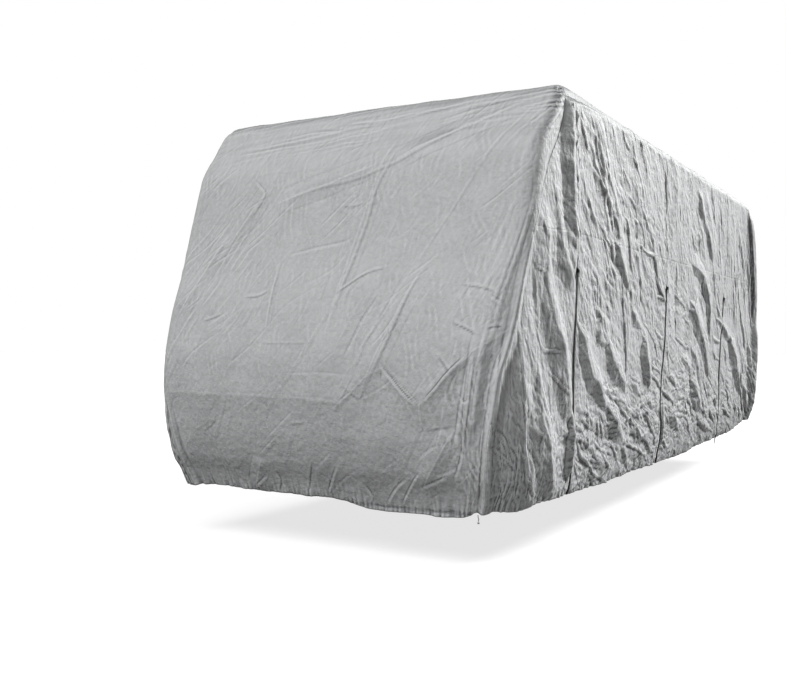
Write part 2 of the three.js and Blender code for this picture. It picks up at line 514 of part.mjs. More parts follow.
// A closed coil zip in a side seam: black tape level with the cloth, and its coil raised along the middle
function zipRibbon(name, seam, tail) {
  const half = ZIP.width / 2 - SEAM_GAP;
  const coil = ZIP.coil / 2;
  const columns = [-half, -coil - 1, -coil, coil, coil + 1, half];
  const rows = tail ? [-tail / (CROSS_SEAM - HEM_LEVEL), ...ZIP_ROWS] : ZIP_ROWS;
  const at = (offset, v) => {
    const height = zipHeight(seam, v);
    const proud = Math.abs(offset) <= coil ? ZIP.raise : 0;
    return clothAt(right, sideEdges[seam + 1](height) + offset, height - ROOF, proud);
  };
  return sheet(name, columns, rows, at, zipTape());
}

// A frame on the coil at the top of a zip: across, up and out of the cloth
function zipFrame(seam) {
  const onCoil = v => {
    const height = zipHeight(seam, v);
    const sides = [-1, 1].map(way => clothAt(right, sideEdges[seam + 1](height) + way * ZIP.coil / 2,
      height - ROOF, ZIP.raise)[0]);
    return sides[0].lerp(sides[1], 0.5);
  };
  const [below, top] = ZIP_ROWS.slice(-2).map(onCoil);
  const up = top.clone().sub(below).normalize();
  const height = zipHeight(seam, ZIP_SHARE);
  const out = facing(right, sideEdges[seam + 1](height), height - ROOF);
  const side = up.clone().cross(out).normalize();
  const face = side.clone().cross(up);
  const origin = top.addScaledVector(up, -SLIDER.length / 2 - SLIDER.leg).addScaledVector(face, SLIDER.seat);
  return new THREE.Matrix4().makeBasis(side, up, face).setPosition(origin);
}
const outline = points => points.map(([x, y]) => new THREE.Vector2(x, y));
const extruded = (shape, depth) => new THREE.ExtrudeGeometry(shape, { depth, bevelEnabled: false });

// The slider body with its bridge, cut from one side profile: up along the zip, out from the cloth
function slider(name, frame) {
  const s = SLIDER;
  const half = s.length / 2;
  const shape = new THREE.Shape(outline([
    [-half, 0], [half, 0], [half, s.plate], [s.foot, s.plate], [s.foot - s.slope, s.crest],
    [s.slope - s.foot, s.crest], [-s.foot, s.plate], [-half, s.plate],
  ]));
  const hole = s.foot - s.leg;
  shape.holes.push(new THREE.Path(outline([
    [-hole, s.floor], [-hole, s.ceiling], [hole, s.ceiling], [hole, s.floor],
  ])));
  const geometry = extruded(shape, s.width);
  geometry.applyMatrix4(new THREE.Matrix4().makeBasis(
    new THREE.Vector3(0, 1, 0), new THREE.Vector3(0, 0, 1), new THREE.Vector3(1, 0, 0),
  ));
  geometry.translate(-s.width / 2, 0, 0);
  return named(name, geometry.applyMatrix4(frame), zipMetal());
}
// The flat puller, whose eye runs through the bridge
function puller(name, frame) {
  const p = PULLER;
  const head = p.head / 2;
  const top = p.bar / 2;
  const neck = -p.reach - p.bar;
  const tab = p.tab / 2;
  const shape = new THREE.Shape(outline([
    [-head, top], [-head, neck], [-tab, neck - p.bar], [-tab, p.chamfer - p.length],
    [p.chamfer - tab, -p.length], [tab - p.chamfer, -p.length], [tab, p.chamfer - p.length],
    [tab, neck - p.bar], [head, neck], [head, top],
  ]));
  shape.holes.push(new THREE.Path(outline([
    [-p.eye / 2, -top], [p.eye / 2, -top], [p.eye / 2, -p.reach], [-p.eye / 2, -p.reach],
  ])));
  const geometry = extruded(shape, p.thickness).translate(0, 0, p.lift);
  return named(name, geometry.applyMatrix4(frame), zipMetal());
}

// The free end of the hem cord, which hangs below the right nose corner and ends in a knot
const cordRoute = [
  [0, 0, 0], [0, -1, -7], [2, -1, -14], [3, 1, -21], [2, 2, -28], [1, 1, -CORD.drop],
].map(([x, y, z]) => new THREE.Vector3(CORD.across + x, CORD.back + y, CORD.top + z));
function cordEnd(name) {
  const round = new THREE.Shape(outline(spread(CORD.sides).slice(0, -1).map(turn =>
    [Math.cos(turn * 2 * Math.PI), Math.sin(turn * 2 * Math.PI)].map(n => n * CORD.diameter / 2))));
  const extrudePath = new THREE.CatmullRomCurve3(cordRoute);
  const geometry = new THREE.ExtrudeGeometry(round, { steps: CORD.steps, extrudePath });
  return named(name, geometry, cordGrey());
}
function cordKnot(name) {
  const geometry = new THREE.IcosahedronGeometry(CORD.knot, 1);
  const { x, y, z } = cordRoute.at(-1);
  return named(name, geometry.translate(x, y, z - CORD.knot - SEAM_GAP), cordGrey());
}

const cover = new THREE.Group();
['nose', 'door', 'middle', 'tail'].forEach((part, k) => {
  cover.add(sidePiece(`right_${part}_lower`, right, [k, k + 1], [SIDE_COLUMNS[k]], false, ZIP_EDGES));
  cover.add(sidePiece(`right_${part}_upper`, right, [k, k + 1], [SIDE_COLUMNS[k]], true, ZIP_EDGES));
});
cover.add(sidePiece('left_lower', left, [0, 4], SIDE_COLUMNS, false, []));
cover.add(sidePiece('left_upper', left, [0, 4], SIDE_COLUMNS, true, []));
const nosePanel = endPanel(false, NOSE_FOLDS, NOSE_CROWN);
const tailPanel = endPanel(true, TAIL_FOLDS, NOSE_CROWN);
cover.add(endPiece('nose_panel', nosePanel, false, along(NOSE_HEM, 'across', 'height'), END_COLUMNS));
cover.add(endPiece('tail_panel', tailPanel, true, along(TAIL_HEM, 'across', 'height'),
  [0, 0.22, 0.44, 0.64, ...CORNER_COLUMNS]));
cover.add(roofPiece('roof_panel', roofPanel(ROOF_FOLDS, ROOF_CROWN)));
uprightSeams.forEach((_, seam) => {
  const number = seam + 1;
  const frame = zipFrame(seam);
  cover.add(zipRibbon(`zip_${number}`, seam, number === 3 ? ZIP.tail : 0));
  cover.add(slider(`zip_${number}_slider`, frame));
  cover.add(puller(`zip_${number}_puller`, frame));
});
cover.add(cordEnd('hem_cord'));
cover.add(cordKnot('hem_cord_knot'));
cover.position.set(-MIDDLE_SHIFT, -MID_LENGTH, -ROOF);

export default cover;
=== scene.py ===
# %% [markdown]
# # A fitted caravan cover
# The object is a large grey cloth cover, pulled over a box shape and drawn in at its hem. This lesson
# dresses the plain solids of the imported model: each cut panel becomes one fine sheet of cloth, and
# the zips, their sliders and the cord end get their real form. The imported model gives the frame.

# %% Load the frame
import math
from functools import partial

import bmesh
import bpy
import numpy as np
from mathutils import Matrix, Vector


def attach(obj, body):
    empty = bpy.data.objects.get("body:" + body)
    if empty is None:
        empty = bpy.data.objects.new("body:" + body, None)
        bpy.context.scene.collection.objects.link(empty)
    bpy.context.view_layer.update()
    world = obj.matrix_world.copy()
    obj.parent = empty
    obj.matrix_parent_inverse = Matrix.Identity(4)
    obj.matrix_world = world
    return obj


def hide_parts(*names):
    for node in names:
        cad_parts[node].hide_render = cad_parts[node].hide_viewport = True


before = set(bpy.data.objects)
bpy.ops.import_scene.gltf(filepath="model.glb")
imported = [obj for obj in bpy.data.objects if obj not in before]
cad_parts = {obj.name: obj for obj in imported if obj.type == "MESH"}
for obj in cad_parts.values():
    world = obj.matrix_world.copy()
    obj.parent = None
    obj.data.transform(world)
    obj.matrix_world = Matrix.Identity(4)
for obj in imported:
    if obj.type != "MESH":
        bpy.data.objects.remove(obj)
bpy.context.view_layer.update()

# %% [markdown]
# ## The camera
# A picture fixes a camera by six numbers and a lens. They were found once, by fitting the corners of
# the cover, so here they are only written down. The camera stands a little above the hem, ahead of
# the right nose corner, and looks almost level.

# %% Camera
EYE = (3.065, -7.340, -1.405)
YAW, PITCH = math.radians(31.1), math.radians(-0.56)
LENS, SENSOR = 43.51, 36.0

camera_data = bpy.data.cameras.new("camera")
camera_data.lens, camera_data.sensor_width = LENS, SENSOR
camera = bpy.data.objects.new("camera", camera_data)
camera.location = EYE
camera.rotation_euler = (math.pi / 2 + PITCH, 0, YAW)
bpy.context.scene.collection.objects.link(camera)
bpy.context.scene.camera = camera
print("camera at", EYE)

# %% [markdown]
# ## The cord end
# The hem is drawn in by a thin cord, and its free end hangs out below the right nose corner. A curve
# with a round bevel is the plainest way to make a cord, and it keeps the line that gives its length.
# Its knot is a closed trefoil of the same cord, pulled tight.

# %% Cord and knot
CORD_TOP = np.array([0.933, -2.964, -2.3068])
CORD_STEPS = np.array([
    [0, 0, 0], [0, -1, -7], [2, -1, -14], [3, 1, -21], [2, 2, -28], [1, 1, -34],
]) / 1000
CORD_THICK, KNOT_SIZE, KNOT_GAP = 0.005, 0.007, 0.0007
CORD_POINTS, KNOT_POINTS = 18, 72
TREFOIL_SPAN, TREFOIL_DEPTH, KNOT_THICK = 4.6, 1.6, CORD_THICK * 0.86


def round_line(name, points, thickness, closed=False):
    """A mesh tube along the points, made by a curve with a round bevel."""
    line = bpy.data.curves.new(name, "CURVE")
    line.dimensions = "3D"
    line.bevel_depth, line.bevel_resolution = thickness / 2, 4
    line.use_fill_caps = not closed
    spline = line.splines.new("POLY")
    spline.points.add(len(points) - 1)
    spline.points.foreach_set("co", np.c_[points, np.ones(len(points))].ravel())
    spline.use_cyclic_u = closed
    drawn = bpy.data.objects.new(name + "_line", line)
    piece = bpy.data.objects.new(name, bpy.data.meshes.new_from_object(drawn))
    bpy.data.objects.remove(drawn)
    piece.data.shade_smooth()
    bpy.context.scene.collection.objects.link(piece)
    return piece


steps = np.arange(len(CORD_STEPS))
fine = np.linspace(0, steps[-1], CORD_POINTS)
bend = np.polyfit(steps, CORD_STEPS, 4)
route = np.stack([np.polyval(bend[:, k], fine) for k in range(3)], -1)
route += CORD_TOP - route[0]
hem_cord = round_line("hem_cord_end", route, CORD_THICK)

turn = np.linspace(0, 2 * math.pi, KNOT_POINTS, endpoint=False)
trefoil = np.stack([
    np.sin(turn) + 2 * np.sin(2 * turn), np.cos(turn) - 2 * np.cos(2 * turn),
    -TREFOIL_DEPTH * np.sin(3 * turn),
], -1)
knot_middle = route[-1] - [0, 0, KNOT_SIZE + KNOT_GAP]
knot_route = knot_middle + trefoil * KNOT_SIZE / TREFOIL_SPAN
hem_knot = round_line("hem_cord_end_knot", knot_route, KNOT_THICK, True)

for piece, node in ((hem_cord, "hem_cord"), (hem_knot, "hem_cord_knot")):
    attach(piece, "root")
    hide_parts(node)

# %% [markdown]
# ## The walls
# The cover is cut to a box with leaning ends and rounded edges. The cloth lies on that box, so the box
# comes first, as a formula: a place on a wall goes in, and its point in space comes out. The same
# tables shape the solids, which keeps the fine cloth on them. Lengths here are in millimetres: x from
# the middle line, y back from the nose, z up from the ground.

# %% Tables of the walls
HALF_WIDTH, MIDDLE_SHIFT, ROOF, MID_LENGTH, MID_HEIGHT = 1175, -25, 2600, 3120, 1300
ROW_ORIGIN = np.array([-MIDDLE_SHIFT, -MID_LENGTH, -ROOF])
EDGE_RADIUS, JOIN, CROSS_SEAM, HEM_LEVEL = 75, 80, 1790, 305
SEAM_GAP, ZIP_WIDTH, ZIP_TOP, ZIP_TAIL = 0.7, 26, 1590, 52
NOSE = [
    (290, 140), (380, 108), (510, 53), (700, 12), (883, 0), (1065, 8), (1250, 45), (1435, 100),
    (1625, 178), (1815, 245), (2010, 303), (2210, 370), (2430, 548), (2600, 690),
]
TAIL = [
    (290, 5850), (420, 5960), (550, 6050), (750, 6120), (1000, 6170), (1300, 6205), (1650, 6240),
    (1900, 6210), (2200, 6130), (2450, 6010), (2600, 5900),
]
CORNER_HEIGHTS = (290, 700, 1100, 1500, 1900, 2350, 2600)
CORNERS = {
    "nose_right": (290, 270, 230, 150, 100, 75, 75),
    "nose_left": (150, 140, 120, 110, 90, 75, 75),
    "tail": (190, 170, 150, 130, 110, 75, 75),
}
DRAWN_IN = [(290, 50), (400, 26), (600, 5), (900, 0), (2600, 0)]
TAIL_EAR = [
    (290, 40), (400, 75), (600, 85), (900, 80), (1200, 70), (1400, 46), (2000, 38), (2400, 28),
    (2520, 0), (2600, 0),
]
EAR_AHEAD, EAR_SPREAD, EAR_REACH = 70, 95, 8
ROOF_LINE = [(500, -18), (900, 12), (1500, 1), (3000, -14), (6100, -41)]
SKEW, SKEW_LEVEL, SKEW_GROWTH, SKEW_BACK, SKEW_FADE = 42, 2150, 400, 700, 2000


def ease(t):
    """0 below 0, 1 above 1, and a soft step between."""
    t = np.clip(t, 0, 1)
    return t * t * (3 - 2 * t)


def smooth(rows):
    """A smooth curve through the rows of a table, which doesn't overshoot between them."""
    x, y = np.array(rows, float).T
    pitch = np.diff(y) / np.diff(x)
    before, after = np.append(pitch[0], pitch), np.append(pitch, pitch[-1])
    same = before * after > 0
    slope = np.where(same, 2 * before * after / np.where(same, before + after, 1), 0)

    def at(value):
        value = np.clip(value, x[0], x[-1])
        k = np.clip(np.searchsorted(x, value, "right") - 1, 0, len(x) - 2)
        span = x[k + 1] - x[k]
        t = (value - x[k]) / span
        start = (1 + 2 * t) * (1 - t) ** 2 * y[k] + t * (1 - t) ** 2 * span * slope[k]
        return start + t * t * (3 - 2 * t) * y[k + 1] + t * t * (t - 1) * span * slope[k + 1]

    return at


nose_back, tail_back = smooth(NOSE), smooth(TAIL)
drawn_in, ear_out, roof_lift = smooth(DRAWN_IN), smooth(TAIL_EAR), smooth(ROOF_LINE)
corner_radius = {end: smooth(list(zip(CORNER_HEIGHTS, radii))) for end, radii in CORNERS.items()}
print("length at mid height:", round(float(tail_back(MID_HEIGHT) - nose_back(MID_HEIGHT))), "mm")

# %% Round edges
def long(height):
    return tail_back(height) - nose_back(height)


def soften(gaps, corner):
    """Rounds the edges where an end wall, a side wall and the roof meet."""
    wall = gaps.argmin(0)
    kind = np.arange(3).reshape(3, *[1] * wall.ndim)
    other = kind != wall
    radius = np.where(kind + wall == 1, corner, EDGE_RADIUS)
    turned = np.where(other, np.maximum(0, 1 - gaps / radius), 0)
    sink = radius * (1 - np.cos(turned * math.pi / 4))
    reach = np.where(turned > 0, radius * (1 - np.sin(turned * math.pi / 4)), gaps)
    total = sink.sum(0)
    return np.where(other, reach + turned * (total - sink), total)


def place(hand, end, flank, under, at_tail):
    """The point of the cover without its folds."""
    hand, end, flank, under, at_tail = np.broadcast_arrays(hand, end, flank, under, at_tail)
    level = ROOF - under
    nose_corner = np.where(hand > 0, corner_radius["nose_right"](level), corner_radius["nose_left"](level))
    corner = np.where(at_tail, corner_radius["tail"](level), nose_corner)
    in_end, in_side, in_roof = soften(np.stack([end, flank, under]), corner)
    z = ROOF - in_roof
    y = np.where(at_tail, tail_back(z) - in_end, nose_back(z) + in_end)
    ridge = np.exp(-(((tail_back(z) - y - EAR_AHEAD) / EAR_SPREAD) ** 2))
    near_side = np.clip(1 - in_side / HALF_WIDTH, 0, 1)
    out = ear_out(z) * ridge * near_side ** EAR_REACH
    x = hand * (HALF_WIDTH - in_side - drawn_in(z) * near_side + out)
    lean = ease((z - SKEW_LEVEL) / SKEW_GROWTH) * ease(1 - (y - SKEW_BACK) / SKEW_FADE)
    y = y + SKEW * x / HALF_WIDTH * lean
    return np.stack([x + MIDDLE_SHIFT, y, z + roof_lift(y) * z / ROOF], -1)


# %% [markdown]
# A place is given in one of three ways, one for the sides, one for the ends and one for the roof. A
# rise is the way up from the roof edge: below nothing down the wall, above nothing in over the roof.

# %% Places on the walls
def on_side(hand, run, rise):
    span = long(ROOF + np.minimum(rise, 0))
    at_tail = run > span / 2
    past = np.maximum(np.maximum(-run, run - span), 0)
    end = np.maximum(np.where(at_tail, span - run, run), 0)
    return place(hand, end, np.where(rise > 0, rise, past), np.maximum(-rise, 0), at_tail)


def on_end(at_tail, across, rise):
    past = np.abs(across) - HALF_WIDTH
    end = np.where(rise > 0, rise, np.maximum(past, 0))
    return place(np.where(across < 0, -1, 1), end, np.maximum(-past, 0), np.maximum(-rise, 0), at_tail)


def on_roof(across, run):
    past = np.abs(across) - HALF_WIDTH
    span = long(ROOF - np.maximum(past, 0))
    at_tail = run > span / 2
    end = np.where(at_tail, span - run, run)
    return place(np.where(across < 0, -1, 1), end, np.maximum(-past, 0), np.maximum(past, 0), at_tail)


# %% [markdown]
# ## Where the cloth is cut
# The divided side has three upright seams, each with a zip in its lower half, and a level seam. The
# nose panel wraps the corner and meets the side at a slanting seam. The seams are tables too, so the
# panels on both sides of one use the same line and meet at it.

# %% Seams and hems
CORNER_SEAM = [
    (297, -145), (450, -123), (683, -91), (853, -53), (1011, -28), (1169, 19), (1339, 43), (1640, 52),
    (1848, 88), (1957, 111), (2141, 165), (2277, 215), (2400, 170), (2520, 80),
]
UPRIGHT_SEAMS = [
    [(297, 895), (680, 882), (852, 872), (1134, 886), (1414, 917), (1600, 932), (1900, 930),
     (2390, 889), (2525, 862)],
    [(297, 2690), (752, 2663), (1259, 2759), (1540, 2797), (1885, 2815), (2525, 2816)],
    [(297, 4610), (467, 4554), (871, 4556), (1355, 4654), (1530, 4709), (2012, 4860), (2525, 4870)],
]
ROOF_SEAM = [
    (700, -80), (890, -80), (990, -68), (1260, -46), (1440, -26), (1660, 14), (2100, 50), (5200, 50),
    (5600, -30), (5800, -80), (6000, -80),
]
SIDE_HEM = [
    (-50, 297), (60, 297), (232, 293), (494, 323), (876, 311), (1552, 297), (2067, 299), (2696, 291),
    (3406, 280), (4019, 302), (4941, 309), (5450, 345), (5700, 385), (5900, 385),
]
NOSE_HEM = [
    (-1175, 297), (-1010, 297), (-815, 306), (-537, 302), (-28, 301), (153, 289), (302, 266),
    (409, 262), (648, 269), (736, 262), (870, 270), (1010, 297), (1175, 297),
]
TAIL_HEM = [
    (-1175, 385), (-1030, 385), (-500, 350), (200, 340), (700, 356), (1030, 385), (1175, 385),
]
TAIL_EDGE = len(UPRIGHT_SEAMS) + 1
corner_seam, roof_seam = smooth(CORNER_SEAM), smooth(ROOF_SEAM)
side_hem, nose_hem, tail_hem = smooth(SIDE_HEM), smooth(NOSE_HEM), smooth(TAIL_HEM)
upright_seams = [smooth(rows) for rows in UPRIGHT_SEAMS]


def side_edge(k, height):
    """The run of the corner seam, the three upright seams or the tail seam at a height."""
    if k == 0:
        return corner_seam(height)
    if k == TAIL_EDGE:
        return long(height) - JOIN
    return upright_seams[k - 1](height) - nose_back(height)


print("upright seams:", len(upright_seams))

# %% [markdown]
# ## The main folds
# Loose cloth on a wall hangs in long slanting folds between its seams. On the real cover each has a
# crisp crest with one wide, flat flank. The tables name each fold once: where it starts and ends, how
# far it bows, the widths ahead of and behind its crest, and how far it rises. They are the folds of
# the solids, but here the crest is sharper, as stiff cloth breaks rather than rolls. On the sides they
# are kept low, because flat facets take most of their place.

# %% Tables of the main folds
RIGHT_FOLDS = [
    (875, 2560, 935, 1560, 10, 170, 50, 58), (560, 2060, 905, 1500, 0, 60, 50, 19),
    (430, 2000, 835, 780, -55, 150, 60, 57), (350, 1200, 575, 330, -20, 60, 60, 35),
    (195, 1000, 310, 370, -25, 50, 45, 24), (330, 1640, 420, 1200, 0, 60, 50, -27),
    (1060, 2550, 1210, 2220, 0, 60, 50, 27), (1225, 2560, 1680, 1980, -20, 120, 60, 51),
    (1600, 2080, 1870, 1430, 25, 120, 65, 51), (1860, 1540, 1845, 960, 10, 65, 55, 32),
    (1840, 2000, 2160, 1260, -20, 95, 60, 38), (2090, 1790, 2195, 1390, 0, 50, 45, -30),
    (2200, 1300, 2430, 840, 10, 140, 60, 46), (940, 1280, 1200, 940, 0, 90, 60, 46),
    (1110, 1040, 1880, 470, 0, 120, 85, 62), (1760, 560, 2420, 340, 0, 60, 55, 32),
    (1480, 1200, 1860, 820, 10, 150, 60, 51), (1150, 1900, 1310, 1540, 0, 70, 60, 19),
    (1950, 2480, 2200, 2130, 0, 70, 60, 22), (2180, 2200, 2540, 1800, 0, 80, 60, 20),
    (2480, 1780, 2770, 1450, 0, 55, 50, 27), (2450, 1160, 2560, 620, 0, 60, 55, 24),
    (3160, 2560, 2860, 1720, 0, 55, 90, 32), (3060, 1720, 3100, 1150, 0, 50, 45, -30),
    (3180, 1180, 3420, 560, 0, 90, 60, 24), (3960, 2500, 4400, 1860, 10, 140, 70, 57),
    (3780, 2260, 4160, 1680, 0, 65, 55, 27), (3860, 1880, 4240, 1460, 30, 160, 70, 62),
    (4225, 1580, 4205, 1060, 0, 120, 65, 51), (3580, 1650, 4220, 980, 10, 130, 70, 54),
    (3600, 1260, 4010, 780, 10, 110, 60, 43), (3520, 900, 3980, 520, 0, 110, 60, 40),
    (4480, 1360, 5170, 1170, 15, 70, 65, 32), (5060, 1270, 5600, 580, 30, 160, 80, 62),
    (5430, 1540, 5720, 1040, 0, 60, 60, -46), (5860, 2200, 6030, 1220, 20, 80, 70, -35),
    (5180, 2450, 5100, 1700, 0, 90, 90, 19), (5560, 860, 5840, 430, 0, 70, 60, 30),
    (4220, 680, 4460, 380, 0, 70, 60, 24), (2900, 760, 3160, 400, 0, 70, 60, 22),
]
LEFT_FOLDS = [
    (900, 2500, 700, 1300, 0, 90, 80, 30), (1300, 2480, 1750, 1350, 30, 130, 80, 38),
    (1000, 1350, 1700, 450, 0, 120, 80, 42), (2350, 2450, 2200, 1500, 0, 80, 80, -25),
    (2300, 1500, 2900, 520, 20, 130, 80, 42), (3250, 2480, 3700, 1500, 20, 110, 80, 35),
    (3600, 1300, 4150, 450, 0, 120, 80, 40), (4500, 2420, 4400, 1400, 0, 90, 80, 25),
    (4700, 1400, 5350, 500, 20, 140, 80, 45), (5500, 2300, 5750, 1300, 0, 90, 80, -28),
]
NOSE_FOLDS = [
    (290, 2470, 40, 1150, -30, 70, 60, 7), (620, 1640, 270, 850, 0, 70, 60, 9),
    (400, 1080, 680, 850, 0, 50, 50, -5), (640, 850, 980, 1190, 0, 50, 50, 5),
    (360, 1480, 170, 1080, 0, 60, 60, -4), (1010, 2520, 230, 2180, 0, 70, 60, 11),
    (260, 2210, -560, 1990, 0, 70, 60, 9), (-560, 2130, -820, 1740, 0, 60, 60, 9),
    (-820, 1860, -1080, 1320, 0, 60, 60, 10), (1010, 1260, 930, 640, 10, 60, 55, 22),
    (940, 1220, 800, 560, 0, 60, 60, -14), (850, 760, 620, 400, 0, 60, 50, 12),
    (-420, 520, -560, 300, 0, 50, 50, 10),
]
TAIL_FOLDS = [
    (-950, 2450, -500, 1300, 40, 110, 90, 20), (950, 2450, 560, 1350, -30, 90, 100, 18),
    (-820, 1300, -620, 420, 0, 90, 80, 22), (-250, 1500, -120, 400, 0, 90, 80, -16),
    (330, 1400, 240, 400, 0, 90, 80, 18), (820, 1250, 700, 420, 0, 80, 80, -18),
]
ROOF_FOLDS = [
    (-700, 500, 500, 900, 60, 160, 160, -12), (650, 1700, -500, 2150, 0, 160, 160, -11),
    (-800, 2900, 600, 3200, -50, 170, 170, -13), (750, 4000, -600, 4500, 40, 160, 160, -11),
]
SWELLS = [
    (920, 1500, 0.4, 5), (410, -1050, 2.1, 4), (260, 730, 4.4, 2.5), (-340, 520, 1.2, 2.5),
]
FLANK, FLANK_BEND, FOLD_ENDS = 1.25, 1.05, 4


def flank(distance):
    """The side of a fold, almost flat from its crest to its foot, by distance in widths."""
    return np.maximum(0, 1 - distance / FLANK) ** FLANK_BEND


def folded(folds, a, b):
    """How far the folds of a table lift the cloth at the places (a, b)."""
    total = np.zeros(np.shape(a))
    for a0, b0, a1, b1, bow, ahead, behind, rise in folds:
        da, db = a1 - a0, b1 - b0
        size = math.hypot(da, db)
        t = ((a - a0) * da + (b - b0) * db) / size ** 2
        beside = ((b - b0) * da - (a - a0) * db) / size - bow * 4 * t * (1 - t)
        width = np.where(beside < 0, ahead, behind)
        ends = ease(t * FOLD_ENDS) * ease((1 - t) * FOLD_ENDS)
        total += rise * flank(np.abs(beside) / width) * ends
    return total


def swelled(a, b, phase):
    return sum(rise * np.sin(2 * math.pi * (a / wide + b / tall) + start + phase)
               for wide, tall, start, rise in SWELLS)


print("main folds:", len(RIGHT_FOLDS + LEFT_FOLDS + NOSE_FOLDS + TAIL_FOLDS + ROOF_FOLDS))

# %% [markdown]
# ## Drawn creases and facets
# The nose is taut and has thin creases, and the slack sides break into flat facets, steep ahead of
# their crest and gentle behind it. Each is a line through a few points, so it can bend where a fold
# can't. A crease has a width on either side and one height. A facet has two slopes, and a width of its
# steep flank at each point, so its crest rises and falls.

# %% Crease lines
LINE_STEPS, LINE_ENDS, LINE_REACH = 4, 3, 2


def bent(points):
    """A soft line through a few points."""
    points = np.array(points, float)
    padded = np.vstack([2 * points[0] - points[1], points, 2 * points[-1] - points[-2]])
    t = np.linspace(0, 1, LINE_STEPS, endpoint=False)[:, None]
    runs = [
        0.5 * (2 * p1 + (p2 - p0) * t + (2 * p0 - 5 * p1 + 4 * p2 - p3) * t ** 2
               + (3 * p1 - p0 - 3 * p2 + p3) * t ** 3)
        for p0, p1, p2, p3 in zip(padded, padded[1:], padded[2:], padded[3:])
    ]
    return np.vstack([*runs, points[-1:]])


def nearest(line, spot):
    """For each spot: its gap to a line, the side it is on, and how far along the line it is."""
    steps = np.linalg.norm(np.diff(line, axis=0), axis=1)
    before = np.concatenate([[0], np.cumsum(steps)])
    gap, side, along = np.full(len(spot), np.inf), np.ones(len(spot)), np.zeros(len(spot))
    for k, size in enumerate(steps):
        way = (line[k + 1] - line[k]) / size
        off = spot - line[k]
        t = np.clip(off @ way, 0, size)
        distance = np.linalg.norm(off - t[:, None] * way, axis=1)
        closer = distance < gap
        gap = np.where(closer, distance, gap)
        side = np.where(closer, off[:, 1] * way[0] - off[:, 0] * way[1], side)
        along = np.where(closer, before[k] + t, along)
    return gap, side, along, before


def within(line, room, a, b):
    """The places that a line can reach."""
    (a0, b0), (a1, b1) = line.min(0) - room, line.max(0) + room
    near = np.nonzero((a > a0) & (a < a1) & (b > b0) & (b < b1))
    return near, np.stack([a[near], b[near]], -1)


def creased(creases, a, b):
    """How far the drawn creases lift the cloth at the places (a, b)."""
    total = np.zeros(np.shape(a))
    for ahead, behind, rise, *points in creases:
        line = bent(points)
        near, spot = within(line, LINE_REACH * max(ahead, behind), a, b)
        if not len(spot):
            continue
        gap, side, along, before = nearest(line, spot)
        share = along / before[-1]
        ends = ease(share * LINE_ENDS) * ease((1 - share) * LINE_ENDS)
        total[near] += rise * flank(gap / np.where(side < 0, ahead, behind)) * ends
    return total


def tilted(rows, a, b):
    """How far flat facets lift the cloth: steep ahead of their crest, gentle behind it."""
    total = np.zeros(np.shape(a))
    for ahead, behind, *points in rows:
        line = np.array(points, float)
        wide = ahead / behind
        near, spot = within(line[:, :2], line[:, 2].max() * max(wide, 1), a, b)
        if not len(spot):
            continue
        gap, side, along, before = nearest(line[:, :2], spot)
        width = np.interp(along, before, line[:, 2])
        total[near] += ahead * width * np.maximum(0, 1 - gap / np.where(side < 0, width, width * wide))
    return total


print("a crease line is drawn in", LINE_STEPS, "steps from point to point")
